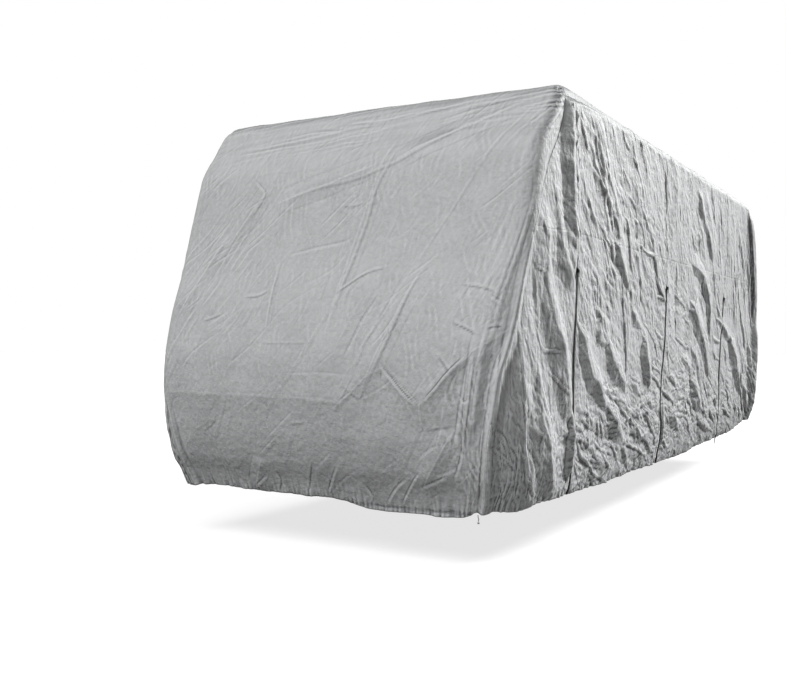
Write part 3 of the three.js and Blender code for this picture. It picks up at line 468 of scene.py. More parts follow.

# %% [markdown]
# ## The facets as they are seen
# The facets of the divided side were drawn over a level picture of it. A row gives the slope
# ahead of the crest, and then the crest from its top to its foot: how far back it shows, how high, and
# how wide the flank shows. The wider a flank, the gentler the slope behind it, and the second table
# gives that slope itself. Cloth that stands proud of the wall is seen nearer the nose than it is. That
# is put right below, once the whole shape of the wall is known. Only the fold that hangs over the lower
# end of the first zip is given where it really is.

# %% Facets as seen
SEEN_FACETS = [
    (0.44, (870, 2510, 140), (880, 2400, 160), (890, 2200, 185), (905, 2000, 150), (915, 1850, 135),
     (910, 1700, 120), (905, 1590, 40)),
    (0.42, (925, 2510, 24), (940, 2300, 26), (950, 2100, 24), (955, 1930, 10)),
    (0.4, (1010, 2450, 15), (1060, 2390, 32), (1110, 2310, 28), (1150, 2280, 10)),
    (0.45, (1160, 2520, 15), (1230, 2440, 28), (1270, 2350, 28), (1310, 2290, 24), (1380, 2210, 10)),
    (0.46, (1180, 2330, 12), (1240, 2250, 38), (1320, 2180, 36), (1380, 2140, 30), (1440, 2115, 42),
     (1500, 2075, 46), (1550, 2030, 34), (1620, 1995, 10)),
    (0.33, (1290, 2510, 16), (1370, 2460, 30), (1430, 2400, 28), (1470, 2330, 24), (1510, 2245, 10)),
    (0.4, (1770, 2530, 15), (1820, 2485, 28), (1880, 2450, 28), (1940, 2435, 10)),
    (0.3, (1990, 2500, 12), (2030, 2450, 28), (2060, 2395, 10)),
    (0.35, (2020, 2400, 12), (2080, 2370, 28), (2135, 2305, 10)),
    (0.34, (2140, 2550, 20), (2200, 2500, 55), (2250, 2440, 15)),
    (0.3, (1790, 2285, 12), (1850, 2235, 22), (1940, 2195, 10)),
    (0.3, (1720, 2140, 12), (1800, 2075, 20)),
    (0.36, (1900, 2125, 10), (2000, 2105, 22), (2060, 2070, 26), (2105, 2005, 10)),
    (0.43, (1125, 2025, 12), (1180, 1990, 45), (1230, 1925, 58), (1280, 1860, 45), (1312, 1805, 10)),
    (0.3, (1550, 2015, 15), (1578, 1940, 36), (1572, 1855, 12)),
    (0.46, (1600, 1980, 10), (1650, 1950, 42), (1680, 1880, 42), (1710, 1825, 10)),
    (0.36, (1395, 1805, 10), (1440, 1780, 30), (1495, 1735, 10)),
    (0.34, (1300, 1905, 10), (1400, 1855, 20), (1480, 1805, 20), (1555, 1770, 10)),
    (0.5, (1525, 1795, 10), (1570, 1760, 32), (1592, 1700, 36), (1612, 1655, 10)),
    (0.46, (1650, 1800, 15), (1720, 1770, 72), (1762, 1700, 88), (1805, 1640, 62), (1870, 1580, 62),
     (1940, 1510, 15)),
    (0.42, (1830, 1985, 10), (1882, 1960, 32), (1912, 1880, 28), (1942, 1780, 28), (1975, 1680, 26),
     (2005, 1630, 8)),
    (0.25, (1800, 1970, 10), (1812, 1900, 28), (1810, 1840, 10)),
    (0.36, (2030, 1995, 12), (2100, 1970, 60), (2108, 1900, 52), (2090, 1845, 12)),
    (0.5, (2050, 1770, 15), (2110, 1745, 60), (2150, 1650, 64), (2178, 1560, 46), (2198, 1430, 10)),
    (0.36, (2165, 2210, 10), (2200, 2110, 26), (2260, 2040, 36), (2330, 1990, 42), (2410, 1955, 12)),
    (0.34, (2420, 1930, 12), (2490, 1890, 38), (2505, 1820, 10)),
    (0.5, (2180, 1822, 10), (2330, 1797, 15), (2490, 1777, 20), (2560, 1722, 34), (2602, 1640, 38),
     (2660, 1562, 32), (2720, 1512, 25), (2790, 1480, 10)),
    (0.46, (2520, 1660, 10), (2580, 1600, 22), (2650, 1530, 22), (2740, 1468, 10)),
    (0.46, (2795, 2440, 10), (2815, 2350, 36), (2830, 2200, 32), (2832, 2090, 10)),
    (0.4, (3190, 2255, 10), (3216, 2190, 30), (3226, 2110, 10)),
    (0.28, (3085, 1800, 12), (3110, 1700, 36), (3112, 1550, 12)),
    (0.36, (3050, 1545, 10), (3180, 1502, 17), (3400, 1430, 10)),
    (0.5, (3040, 1410, 10), (3085, 1330, 36), (3100, 1195, 20)),
    (0.5, (3090, 1198, 10), (3250, 1168, 16), (3490, 1115, 10)),
    (0.43, (925, 1305, 10), (1000, 1255, 30), (1095, 1180, 85), (1140, 1095, 118), (1180, 1030, 125),
     (1240, 970, 112), (1310, 920, 100), (1390, 860, 95), (1460, 800, 60), (1540, 742, 50),
     (1620, 690, 98), (1700, 625, 108), (1770, 570, 68), (1860, 505, 12)),
    (0.5, (1850, 502, 8), (2000, 480, 15), (2120, 450, 18), (2220, 415, 16), (2330, 360, 8)),
    (0.46, (1310, 1182, 12), (1420, 1177, 30), (1500, 1172, 50), (1560, 1110, 85), (1640, 1040, 115),
     (1710, 980, 112), (1770, 930, 75), (1845, 855, 10)),
    (0.38, (1290, 1390, 15), (1355, 1325, 85), (1352, 1250, 108), (1310, 1165, 30)),
    (0.43, (1748, 1610, 12), (1790, 1480, 30), (1822, 1330, 36), (1850, 1150, 32), (1866, 1000, 28),
     (1866, 900, 10)),
    (0.43, (1935, 1590, 12), (1982, 1480, 46), (2005, 1385, 62), (2070, 1325, 75), (2180, 1285, 15)),
    (0.46, (2225, 1215, 12), (2290, 1182, 72), (2340, 1090, 120), (2385, 1010, 130), (2402, 930, 120),
     (2380, 855, 25)),
    (0.34, (585, 2015, 10), (650, 1920, 28), (690, 1800, 60), (740, 1710, 90), (800, 1630, 112),
     (870, 1560, 118), (905, 1505, 60)),
    (0.37, (500, 1520, 40), (560, 1410, 100), (620, 1300, 130), (690, 1220, 150), (750, 1140, 170),
     (785, 1040, 180), (812, 940, 190), (845, 830, 150), (862, 735, 40)),
    (0.37, (378, 1090, 10), (405, 940, 50), (430, 840, 110), (460, 750, 150), (520, 660, 170),
     (555, 560, 178), (572, 460, 168), (577, 370, 80)),
    (0.3, (188, 1010, 10), (215, 900, 36), (210, 750, 36), (220, 600, 36), (240, 480, 36), (300, 420, 26),
     (400, 365, 8)),
    (0.26, (618, 690, 10), (632, 550, 30), (632, 390, 15)),
    (0.45, (198, 1225, 8), (270, 1120, 15), (312, 1035, 8)),
    (0.5, (525, 1015, 8), (620, 970, 13), (710, 930, 13), (815, 898, 8)),
    (0.45, (448, 1820, 8), (490, 1760, 22), (512, 1670, 8)),
    (0.4, (575, 1985, 8), (650, 1935, 14), (690, 1892, 14), (785, 1868, 8)),
    (0.34, (325, 1270, 8), (385, 1175, 18), (470, 1135, 16), (650, 1120, 8)),
    (0.36, (305, 1605, 8), (350, 1562, 16), (460, 1548, 8)),
    (0.35, (330, 1500, 20), (352, 1400, 60), (372, 1280, 60), (380, 1190, 15)),
    (0.4, (925, 610, 10), (1000, 535, 30), (1100, 480, 32), (1205, 415, 10)),
    (0.45, (888, 510, 8), (930, 445, 24), (975, 365, 10)),
    (0.42, (960, 640, 8), (1010, 585, 20), (1060, 560, 8)),
    (0.4, (1262, 710, 10), (1300, 640, 32), (1312, 565, 10)),
    (0.45, (1338, 730, 10), (1372, 650, 32), (1392, 560, 10)),
    (0.3, (1105, 850, 20), (1130, 650, 60), (1132, 510, 20)),
    (0.45, (1750, 520, 10), (1812, 470, 46), (1852, 400, 42), (1895, 350, 10)),
    (0.42, (1885, 715, 10), (1950, 680, 32), (2003, 605, 10)),
    (0.45, (2085, 610, 8), (2150, 560, 24), (2205, 485, 8)), (0.5, (1905, 893, 8), (1985, 852, 12)),
    (0.45, (1965, 948, 8), (2060, 925, 15), (2155, 898, 8)),
    (0.3, (1995, 905, 15), (2085, 880, 60), (2165, 815, 15)),
    (0.3, (1380, 905, 10), (1500, 885, 30), (1650, 850, 12)),
    (0.35, (1640, 815, 10), (1800, 725, 36), (1905, 655, 10)),
    (0.5, (2325, 935, 8), (2400, 890, 15), (2465, 825, 8)),
    (0.5, (2455, 933, 10), (2560, 897, 19), (2680, 832, 21), (2800, 792, 23), (2930, 757, 25),
     (3020, 712, 17), (3105, 625, 8)),
    (0.4, (2440, 1012, 8), (2560, 977, 15), (2685, 935, 8)),
    (0.42, (2478, 1185, 10), (2540, 1130, 30), (2603, 1015, 8)),
    (0.4, (2235, 1312, 8), (2350, 1262, 17), (2475, 1188, 8)),
    (0.34, (2500, 1285, 10), (2600, 1225, 26), (2720, 1200, 10)),
    (0.38, (2828, 1218, 10), (2862, 1120, 42), (2892, 1000, 36), (2902, 875, 12)),
    (0.34, (2890, 625, 20), (3060, 600, 72), (3140, 540, 60), (3205, 475, 12)),
    (0.35, (2735, 695, 10), (2800, 640, 26), (2885, 565, 10)),
    (0.3, (2732, 785, 20), (2718, 650, 115), (2690, 520, 118), (2660, 410, 40)),
    (0.3, (3290, 1040, 20), (3450, 1012, 62), (3540, 960, 80), (3545, 890, 20)),
    (0.4, (3070, 622, 8), (3250, 605, 14), (3405, 588, 8)),
    (0.4, (3415, 545, 10), (3490, 490, 30), (3565, 405, 10)),
    (0.42, (2195, 725, 10), (2300, 660, 24), (2420, 580, 30), (2500, 520, 32), (2562, 395, 10)),
    (0.45, (1395, 470, 8), (1480, 430, 22), (1560, 380, 8)),
    (0.4, (1500, 560, 8), (1590, 500, 22), (1660, 440, 20), (1710, 390, 8)),
    (0.42, (1150, 420, 10), (1250, 390, 24), (1330, 355, 8)),
    (0.42, (2010, 560, 8), (2090, 500, 20), (2150, 440, 8)),
    (0.4, (2250, 520, 8), (2350, 460, 22), (2420, 400, 8)),
    (0.45, (2620, 620, 8), (2640, 540, 22), (2655, 450, 8)),
    (0.43, (3800, 2420, 15), (3900, 2365, 60), (3965, 2265, 90), (4050, 2175, 72), (4150, 2115, 52),
     (4225, 2050, 80), (4292, 1930, 60), (4305, 1850, 12)),
    (0.36, (4225, 2535, 15), (4300, 2440, 52), (4385, 2325, 15)),
    (0.36, (3775, 2090, 15), (3860, 2020, 80), (3882, 1880, 25)),
    (0.46, (3610, 1795, 10), (3750, 1782, 60), (3900, 1752, 72), (4020, 1700, 85), (4110, 1605, 100),
     (4180, 1500, 105), (4216, 1395, 100), (4216, 1230, 30)),
    (0.43, (3550, 1510, 15), (3680, 1440, 110), (3820, 1335, 120), (3940, 1232, 120), (4060, 1110, 120),
     (4142, 1000, 110), (4165, 870, 25)),
    (0.34, (3590, 1115, 20), (3700, 1060, 90), (3800, 960, 72), (3855, 860, 15)),
    (0.4, (3575, 860, 20), (3680, 812, 100), (3780, 722, 130), (3862, 650, 100), (3905, 580, 15)),
    (0.46, (3810, 502, 10), (4050, 462, 42), (4305, 388, 10)),
    (0.38, (4335, 1815, 15), (4382, 1700, 60), (4425, 1550, 15)),
    (0.46, (4455, 1630, 10), (4560, 1540, 32), (4655, 1435, 10)),
    (0.43, (4465, 1510, 10), (4580, 1432, 52), (4690, 1380, 60), (4765, 1295, 12)),
    (0.4, (4145, 905, 10), (4270, 800, 28), (4335, 695, 10)),
    (0.38, (3945, 855, 10), (4050, 790, 32), (4125, 685, 10)),
    (0.42, (4345, 710, 10), (4440, 660, 52), (4485, 580, 12)),
    (0.42, (4290, 1240, 10), (4420, 1185, 30), (4600, 1160, 10)),
    (0.4, (4300, 1110, 10), (4420, 1045, 26), (4590, 1015, 10)),
    (0.4, (3900, 640, 10), (4020, 580, 30), (4130, 520, 10)),
    (0.42, (4180, 600, 10), (4290, 520, 34), (4400, 430, 10)),
    (0.36, (3420, 760, 10), (3520, 690, 40), (3600, 600, 10)),
    (0.5, (4480, 1372, 10), (4650, 1342, 40), (4800, 1290, 50), (4950, 1225, 46), (5110, 1190, 30)),
    (0.43, (5100, 1190, 50), (5200, 1105, 120), (5290, 1020, 158), (5362, 930, 160), (5422, 830, 150),
     (5482, 740, 110), (5548, 640, 20)),
    (0.5, (5435, 1530, 10), (5530, 1440, 52), (5620, 1312, 70), (5722, 1180, 60), (5755, 1070, 12)),
    (0.28, (5555, 2120, 20), (5680, 1950, 88), (5722, 1750, 98), (5732, 1550, 30)),
    (0.37, (5815, 2350, 20), (5872, 2150, 70), (5932, 1900, 80), (6002, 1600, 90), (6062, 1330, 30)),
    (0.42, (5885, 1165, 20), (6010, 1050, 120), (6080, 900, 155), (6080, 720, 140), (6005, 590, 30)),
    (0.25, (5190, 1710, 15), (5212, 1500, 42), (5232, 1290, 15)),
    (0.43, (5590, 790, 20), (5750, 682, 80), (5840, 560, 88), (5862, 460, 25)),
    (0.43, (5365, 570, 10), (5460, 490, 42), (5535, 395, 10)),
    (0.28, (4755, 1130, 20), (4850, 1050, 60), (4905, 920, 15)),
    (0.43, (4745, 565, 10), (4900, 512, 26), (5055, 468, 10)),
    (0.25, (4560, 2320, 12), (4582, 2000, 32), (4602, 1740, 12)),
    (0.42, (4620, 920, 10), (4720, 850, 40), (4800, 760, 15)),
    (0.4, (4820, 760, 10), (4930, 680, 36), (5010, 590, 10)),
    (0.38, (5180, 620, 10), (5290, 540, 40), (5380, 450, 10)),
    (0.34, (5480, 1120, 15), (5600, 980, 60), (5660, 850, 15)),
    (0.25, (4920, 2300, 10), (4930, 2000, 30), (4925, 1700, 10)),
    (0.25, (5330, 2350, 10), (5345, 2050, 34), (5340, 1750, 10)),
]
SEEN_RIDGES = [
    (1.05, 0.3, (6040, 2490, 20), (6110, 2250, 90), (6170, 2000, 110), (6225, 1750, 110),
     (6255, 1600, 90), (6240, 1450, 30)),
    (0.6, 0.4, (2590, 1500, 8), (2700, 1488, 18), (2860, 1475, 8)),
    (0.8, 0.5, (690, 2525, 6), (712, 2498, 16), (704, 2465, 9)),
    (0.7, 0.5, (725, 2520, 6), (712, 2500, 12), (704, 2490, 6)),
    (0.5, 0.4, (1040, 2570, 8), (1090, 2553, 22), (1150, 2545, 10)),
    (0.45, 0.4, (2150, 2540, 8), (2210, 2500, 20), (2260, 2470, 10)),
]
ZIP_COVER = (0.62, 0.9, (850, 800, 10), (842, 700, 55), (838, 580, 60), (835, 470, 55), (838, 400, 15))
print("facets on the divided side:", len(SEEN_FACETS + SEEN_RIDGES) + 1)

# %% Creases of the nose
NOSE_CREASES = [
    (83, 13, 3, (310, 2420), (260, 2200), (200, 2050), (170, 1850), (110, 1560), (60, 1300), (20, 1200)),
    (52, 13, -2, (130, 1800), (60, 1760), (-60, 1740), (-370, 1690)),
    (73, 12, 3.5, (590, 1600), (500, 1350), (400, 1100), (290, 890)),
    (52, 10, 3, (400, 1600), (250, 1570), (130, 1500), (40, 1430)),
    (52, 13, -2.5, (360, 1470), (280, 1340), (200, 1160), (170, 1050)),
    (30, 8, 5, (410, 1050), (480, 990), (560, 910), (650, 850)),
    (26, 8, 5.5, (650, 850), (740, 940), (820, 1030), (930, 1130)),
    (47, 12, -2.5, (160, 960), (230, 910), (290, 885), (330, 950)),
    (42, 10, -2.5, (-590, 1440), (-480, 1445), (-390, 1480)),
    (42, 10, -2.5, (-880, 1300), (-800, 1320), (-720, 1345)),
    (52, 13, 2.5, (1000, 2500), (700, 2400), (420, 2250), (100, 2130), (-200, 2090), (-500, 2010)),
    (47, 12, -2, (1000, 2540), (700, 2500), (400, 2440)),
    (42, 10, 2, (700, 2560), (450, 2530), (200, 2480)),
    (42, 10, 2, (360, 2530), (100, 2490), (-260, 2500)),
    (42, 10, -2, (-100, 2450), (-400, 2480), (-700, 2440)),
    (42, 10, 2, (-760, 2210), (-650, 2130), (-600, 2060), (-700, 1900)),
    (42, 10, -2.5, (820, 1480), (950, 1460), (1060, 1430)),
    (42, 10, -2.5, (800, 1290), (900, 1250), (980, 1210)),
    (42, 10, 2.5, (1000, 1420), (1060, 1390), (1110, 1370)),
    (32, 8, -3.5, (1010, 1250), (1080, 1265), (1130, 1260)),
    (56, 10, 8, (1130, 1300), (1110, 1050), (1090, 800), (1075, 620), (1060, 420)),
    (48, 12, -7, (1010, 1200), (985, 1000), (960, 820), (940, 640)),
    (48, 10, 7, (960, 1180), (950, 1000), (920, 820), (870, 620), (840, 470)),
    (40, 9, 7, (1040, 820), (1010, 640), (985, 500), (960, 330)),
    (48, 12, -6.5, (900, 760), (860, 600), (800, 440)), (52, 13, 3, (700, 470), (780, 500), (850, 530)),
    (47, 12, -3, (660, 720), (760, 740), (860, 760)), (47, 12, 3, (620, 560), (690, 620), (760, 650)),
    (47, 12, -2.5, (740, 1130), (800, 1060), (860, 1000)),
    (36, 9, 3.5, (860, 920), (900, 880), (960, 900)),
    (48, 12, 6.5, (-560, 310), (-500, 350), (-410, 410)),
    (40, 10, -4.5, (-380, 300), (-340, 380), (-360, 440)),
    (48, 12, 6.5, (-20, 310), (40, 400), (110, 510)),
    (40, 10, -4.5, (-160, 300), (-110, 420), (-60, 530)),
    (48, 12, 6.5, (380, 280), (450, 380), (560, 470)), (40, 10, 5.5, (480, 270), (520, 360), (640, 520)),
    (48, 12, 5.5, (600, 400), (700, 440), (810, 490)), (40, 10, -4.5, (280, 280), (300, 340), (250, 420)),
    (42, 10, -2, (-220, 720), (-130, 725), (-60, 735)),
    (42, 10, -2, (-850, 640), (-780, 680), (-720, 730)),
    (52, 13, 2.5, (-1090, 620), (-1060, 500), (-1050, 400)),
    (36, 9, 2, (-375, 1690), (-380, 1450), (-375, 1210)),
    (36, 9, -1, (-500, 1180), (-250, 1170), (20, 1175)), (36, 9, 1, (-300, 1000), (0, 1010), (300, 1000)),
    (42, 10, -2, (-20, 1960), (70, 1950), (150, 1970)),
]
print("creases on the nose:", len(NOSE_CREASES))

# %% [markdown]
# ## Crumple
# What is left is too fine and too many to draw. Stiff cloth crumples into long flat facets with sharp
# edges. A lattice of chance heights, filled in straight lines between its corners, gives such facets;
# stretched along the folds and bent by a soft drift, it no longer looks like a lattice.

# %% Chance heights
HASH_A, HASH_B, HASH_SEED, HASH_MIX = 374761393, 668265263, 974711, 1274126177
HASH_HIGH, HASH_LOW = 13, 16
WORD, HALF_WORD = 0xFFFFFFFF, 0xFFFF


def chance(i, j, seed):
    """A fixed number from -1 to 1 for each whole place."""
    n = (i.astype(np.int64) * HASH_A + j.astype(np.int64) * HASH_B + seed * HASH_SEED) & WORD
    n = ((n ^ (n >> HASH_HIGH)) * HASH_MIX) & WORD
    return ((n ^ (n >> HASH_LOW)) & HALF_WORD) / (HALF_WORD / 2) - 1


def corners_of(x, y, seed):
    i, j = np.floor(x), np.floor(y)
    return x - i, y - j, [chance(i + di, j + dj, seed) for di, dj in ((0, 0), (1, 0), (0, 1), (1, 1))]


def broken(x, y, seed):
    """Flat triangles between chance heights."""
    fx, fy, (a, b, c, d) = corners_of(x, y, seed)
    low = a + fx * (b - a) + fy * (c - a)
    high = d + (1 - fx) * (c - d) + (1 - fy) * (b - d)
    return np.where(fx + fy < 1, low, high)


def drift(x, y, seed):
    """Soft hills between chance heights."""
    fx, fy, (a, b, c, d) = corners_of(x, y, seed)
    sx, sy = ease(fx), ease(fy)
    return (a + sx * (b - a)) * (1 - sy) + (c + sx * (d - c)) * sy


print("three chance heights:", chance(np.arange(3), np.zeros(3), 1).round(2))

# %% Ways to crumple
PULL_BEND, PULL_BEND_ACROSS, PULL_BEND_ALONG, PULL_START = 0.9, 0.37, 0.8, 3
FACET_BEND, FACET_BEND_ACROSS, FACET_BEND_ALONG = 0.7, (0.45, 0.6, 3.1), (0.5, 0.5, 7.7)
SMALL_FACETS, SMALL_ACROSS, SMALL_ALONG = 0.45, (2.1, 0.6, 5), (1.7, -0.3)
PINCH_BEND, PINCH_BEND_ACROSS, PINCH_BEND_ALONG = 0.8, 0.3, 0.7


def leaning(a, b, lean):
    """Places across and along a direction that leans from upright, ahead at its top."""
    way = math.radians(lean)
    return a * math.cos(way) + b * math.sin(way), b * math.cos(way) - a * math.sin(way)


def pulled(a, b, seed, long_way, wide_way, lean, few, steep=0.26):
    """Scattered folds with a short steep flank ahead of a long gentle one."""
    across, down = leaning(a, b, lean)
    x, y = across / wide_way, down / long_way
    x = x + PULL_BEND * drift(x * PULL_BEND_ACROSS, y * PULL_BEND_ALONG, seed + 1)
    k = np.floor(x)
    at = y + PULL_START * chance(k, 0 * k, seed + 5)
    j = np.floor(at)
    before, after = chance(k, j, seed), chance(k, j + 1, seed)
    crest = np.maximum(0, before + ease(at - j) * (after - before) - few)
    share = x - k
    return crest * np.minimum(share / steep, (1 - share) / (1 - steep))


def crumple(a, b, seed, long_way, wide_way, lean):
    """Facets that lie along a leaning direction, with smaller ones on them."""
    across, down = leaning(a, b, lean)
    x, y = across / wide_way, down / long_way
    stretch, squeeze, shift = FACET_BEND_ACROSS
    x = x + FACET_BEND * drift(x * stretch + shift, y * squeeze, seed + 1)
    stretch, squeeze, shift = FACET_BEND_ALONG
    y = y + FACET_BEND * drift(x * stretch, y * squeeze + shift, seed + 2)
    small_x = x * SMALL_ACROSS[0] + y * SMALL_ACROSS[1] + SMALL_ACROSS[2]
    small_y = y * SMALL_ALONG[0] + x * SMALL_ALONG[1]
    return broken(x, y, seed) + SMALL_FACETS * broken(small_x, small_y, seed + 3)


def pinched(a, b, seed, long_way, wide_way, lean):
    """Thin sharp ridges along a leaning direction."""
    across, down = leaning(a, b, lean)
    x, y = across / wide_way, down / long_way
    bent_x = x + PINCH_BEND * drift(x * PINCH_BEND_ACROSS, y * PINCH_BEND_ALONG, seed + 4)
    return 1 - 2 * np.abs(drift(bent_x, y, seed))


def zone(a, b, middle_a, middle_b, reach_a, reach_b):
    """A soft patch, 1 in its middle."""
    return np.exp(-((a - middle_a) / reach_a) ** 2 - ((b - middle_b) / reach_b) ** 2)


print("ways to crumple: pulled, crumple, pinched")

# %% [markdown]
# ## One surface for each wall
# Each wall now gets its whole shape in one function: main folds, drawn creases or facets, and crumple,
# all lifted along the way the wall faces. Near a seam between two walls everything dies out, so that
# the two cloths meet. A hem is gathered by its elastic, which shows as short upright pleats, and low
# on the nose the cloth hangs back to it.

# %% Seams and hems of the walls
SEAM_CALM, CREASE_CALM, ROOF_CALM = 50, 30, 110
ZIP_REACH, ZIP_STIFF, ZIP_CALM = 36, 0.85, 60
CORNER_LINE = [
    (297, 6), (900, 15), (1500, 13), (1800, 6), (2050, 0), (2350, -8), (2480, -3), (2520, 0),
]
CORNER_WIDE = [(297, 30), (900, 34), (1500, 36), (1800, 40), (2050, 40), (2350, 44), (2520, 40)]
UNDER_LINE = [
    (-1260, 885), (-200, 880), (170, 862), (330, 1000), (420, 1050), (650, 862), (950, 1140), (1260, 1300),
]
UNDER_DEPTH, UNDER_FADE = 26, 150
HOLLOW, HOLLOW_FRONT, HOLLOW_LONG, HOLLOW_TOP, HOLLOW_FADE = 42, 110, 620, 1800, 400
PLEAT_RISE, PLEAT_HIGH, PLEAT_FADE, PLEAT_WIDE, PLEAT_LONG = 4.5, 70, 1.5, 36, 160
SMALL_PLEAT, SMALL_PLEAT_WIDE, SMALL_PLEAT_LONG = 0.5, 15, 90


corner_line, corner_wide = smooth(CORNER_LINE), smooth(CORNER_WIDE)


def corner_ridge(inside, height, top):
    """The seam at the nose corner stands proud low down and lies in a valley higher up."""
    return corner_line(height) * flank(np.abs(inside) / corner_wide(height)) * ease(top / SEAM_CALM)


def tucked_under(spot, line):
    """Below this line the nose hangs back, free, to its elastic hem."""
    bend = np.interp(spot, *np.array(UNDER_LINE, float).T)
    return UNDER_DEPTH * (np.exp(-np.maximum(bend - line, 0) / UNDER_FADE) - 1)


def gathered(along, above, seed):
    """Short pleats over an elastic hem."""
    near = np.exp(-(np.maximum(above, 0) / PLEAT_HIGH) ** PLEAT_FADE)
    wave = drift(along / PLEAT_WIDE, above / PLEAT_LONG, seed)
    wave += SMALL_PLEAT * drift(along / SMALL_PLEAT_WIDE, above / SMALL_PLEAT_LONG, seed + 1)
    return PLEAT_RISE * near * wave


def hollow(behind, line):
    """Behind the nose corner the cloth sinks in quickly and comes out slowly up to the first zip."""
    depth = ease(behind / HOLLOW_FRONT) * np.clip(1 - behind / HOLLOW_LONG, 0, 1)
    return -HOLLOW * depth * ease((HOLLOW_TOP - line) / HOLLOW_FADE)


def stiff(back, line, has_zips):
    """Less crumple beside the zips, whose tape is stiff."""
    calm = np.zeros(np.shape(back))
    for seam in upright_seams if has_zips else ():
        near = np.exp(-((back - seam(line)) / ZIP_REACH) ** 2)
        calm = np.maximum(calm, near * ease((ZIP_TOP + ZIP_CALM - line) / ZIP_CALM))
    return 1 - ZIP_STIFF * calm


print("deepest hollow behind the nose corner:", HOLLOW, "mm")

# %% Crumple of the sides
GRAINS = [
    (34, 1.0, [(1700, 2100, 1100, 700), (4000, 1500, 500, 900), (5300, 800, 500, 400)]),
    (66, 1.0, [(2200, 500, 1500, 350), (3200, 1100, 450, 500), (4700, 700, 500, 400)]),
    (8, 0.8, [(4950, 2000, 900, 600), (300, 1000, 350, 900), (3000, 2200, 450, 400)]),
]
GRAIN_LEAST, GRAIN_SEEDS = 0.02, 50
LARGE_PULLS = [(0, 14, 300, 100, 0, 0.4), (2, 12, 200, 60, 8, 0.35)]
FINE_PULLS = [(4, 7, 120, 36, -5, 0.25), (6, 4.5, 80, 22, 3, 0.2)]
SIDE_CRUMPLES = [(8, 4.6, 120, 62, 14), (9, 2.1, 46, 27, 0)]
PATCH_LEAST, PATCH_FINE, PATCH_DRIFT, PATCH_WIDE, PATCH_TALL, PATCH_SEED = 0.55, 0.25, 0.5, 260, 220, 33
PATCH_LOW, PATCH_LOW_TOP, PATCH_LOW_FADE = 0.6, 1100, 500


def pulls(rows, a, b, seed, lean):
    """Scattered folds. Rows give a seed step, rise, length, width, turn and how few there are."""
    return sum(rise * pulled(a, b, seed + step, long_way, wide_way, lean + turned, few)
               for step, rise, long_way, wide_way, turned, few in rows)


def grained(back, line, seed, is_fine):
    """The crumple of a side: three ways of lying, each in its own places."""
    total, weights = 0, 0
    for k, (lean, strength, places) in enumerate(GRAINS):
        weight = GRAIN_LEAST + sum(zone(back, line, *spot) for spot in places)
        own = seed + GRAIN_SEEDS * k
        rough = pulls(LARGE_PULLS, back, line, own, lean) + pulls(FINE_PULLS, back, line, own, lean) * is_fine
        rough += sum(rise * crumple(back, line, own + step, long_way, wide_way, lean + turned)
                     for step, rise, long_way, wide_way, turned in SIDE_CRUMPLES)
        total = total + weight * strength * rough
        weights = weights + weight
    patch = PATCH_DRIFT * drift(back / PATCH_WIDE, line / PATCH_TALL, seed + PATCH_SEED)
    patch += PATCH_LEAST + PATCH_FINE * is_fine + PATCH_LOW * ease((PATCH_LOW_TOP - line) / PATCH_LOW_FADE)
    return patch * total / weights


print("ways the crumple of a side lies:", len(GRAINS))

# %% Shape of the sides
FRAY_BACK = [(9, 75, 95, 91), (4, 28, 34, 92)]
FRAY_DOWN = [(9, 80, 85, 93)]
FOLD_SHARE, FOLD_AT_ZIP, PLEAT_SEED = 0.22, 0.3, 40


def frayed(back, line):
    """The same places moved a little by chance, which roughens the outline of a facet."""
    aside, down = (sum(most * drift(back / wide, line / tall, seed) for most, wide, tall, seed in rows)
                   for rows in (FRAY_BACK, FRAY_DOWN))
    return back + aside, line + down


def side_shape(folds, rows, is_right, phase, seed):
    def shape(run, rise):
        height = ROOF + np.minimum(rise, 0)
        back = nose_back(height) + run
        line = ROOF + rise
        from_corner = run - corner_seam(height)
        ends = np.minimum(from_corner, long(height) - JOIN - run)
        top = roof_seam(back) - rise
        soft = ease(ends / SEAM_CALM) * ease(top / SEAM_CALM)
        crisp = ease(ends / CREASE_CALM) * ease(top / CREASE_CALM)
        loose = stiff(back, line, is_right)
        rough = loose * ease(top / ROOF_CALM) * grained(back, line, seed, is_right)
        rough += gathered(back, line - side_hem(back), seed + PLEAT_SEED)
        main = folded(folds, back, line) * FOLD_SHARE * (FOLD_AT_ZIP + (1 - FOLD_AT_ZIP) * loose)
        main += hollow(from_corner, line) * is_right + swelled(back, rise, phase) / 2
        ridge = corner_ridge(from_corner, height, top) * is_right
        return soft * main + ridge + crisp * (tilted(rows, *frayed(back, line)) * loose + rough)
    return shape


print("share of a main fold's rise on the sides:", FOLD_SHARE)

# %% Crumple of the ends
BUSY, LEFT_PULLS = (1080, 700, 260, 620), (-900, 1650, 380, 560)
BESIDE_WIDE, BESIDE_TOP, BESIDE_FADE = 190, 2150, 500
HIGH_FOOT, HIGH_FADE = 2250, 200
BROAD = (0, 1.6, 5.5, 300, 110, 12)
END_CRUMPLES = [
    (pinched, 5, "busy", 0.35, 1.7, (110, 40, 15)), (crumple, 20, "busy", 0.5, 1.9, (70, 38, -35)),
    (pulled, 26, "beside", 0, 9, (420, 52, -10, -0.1, 0.5)), (pulled, 24, "all", 0, 3, (260, 46, -52, 0.5)),
    (pinched, 9, "left", 0, 1.5, (260, 46, -33)), (pinched, 12, "high", 0, 1.1, (34, 420, 6)),
]
CROSS_PULLS = (22, 3.4, 7, 380, 80, 30, 0.45)


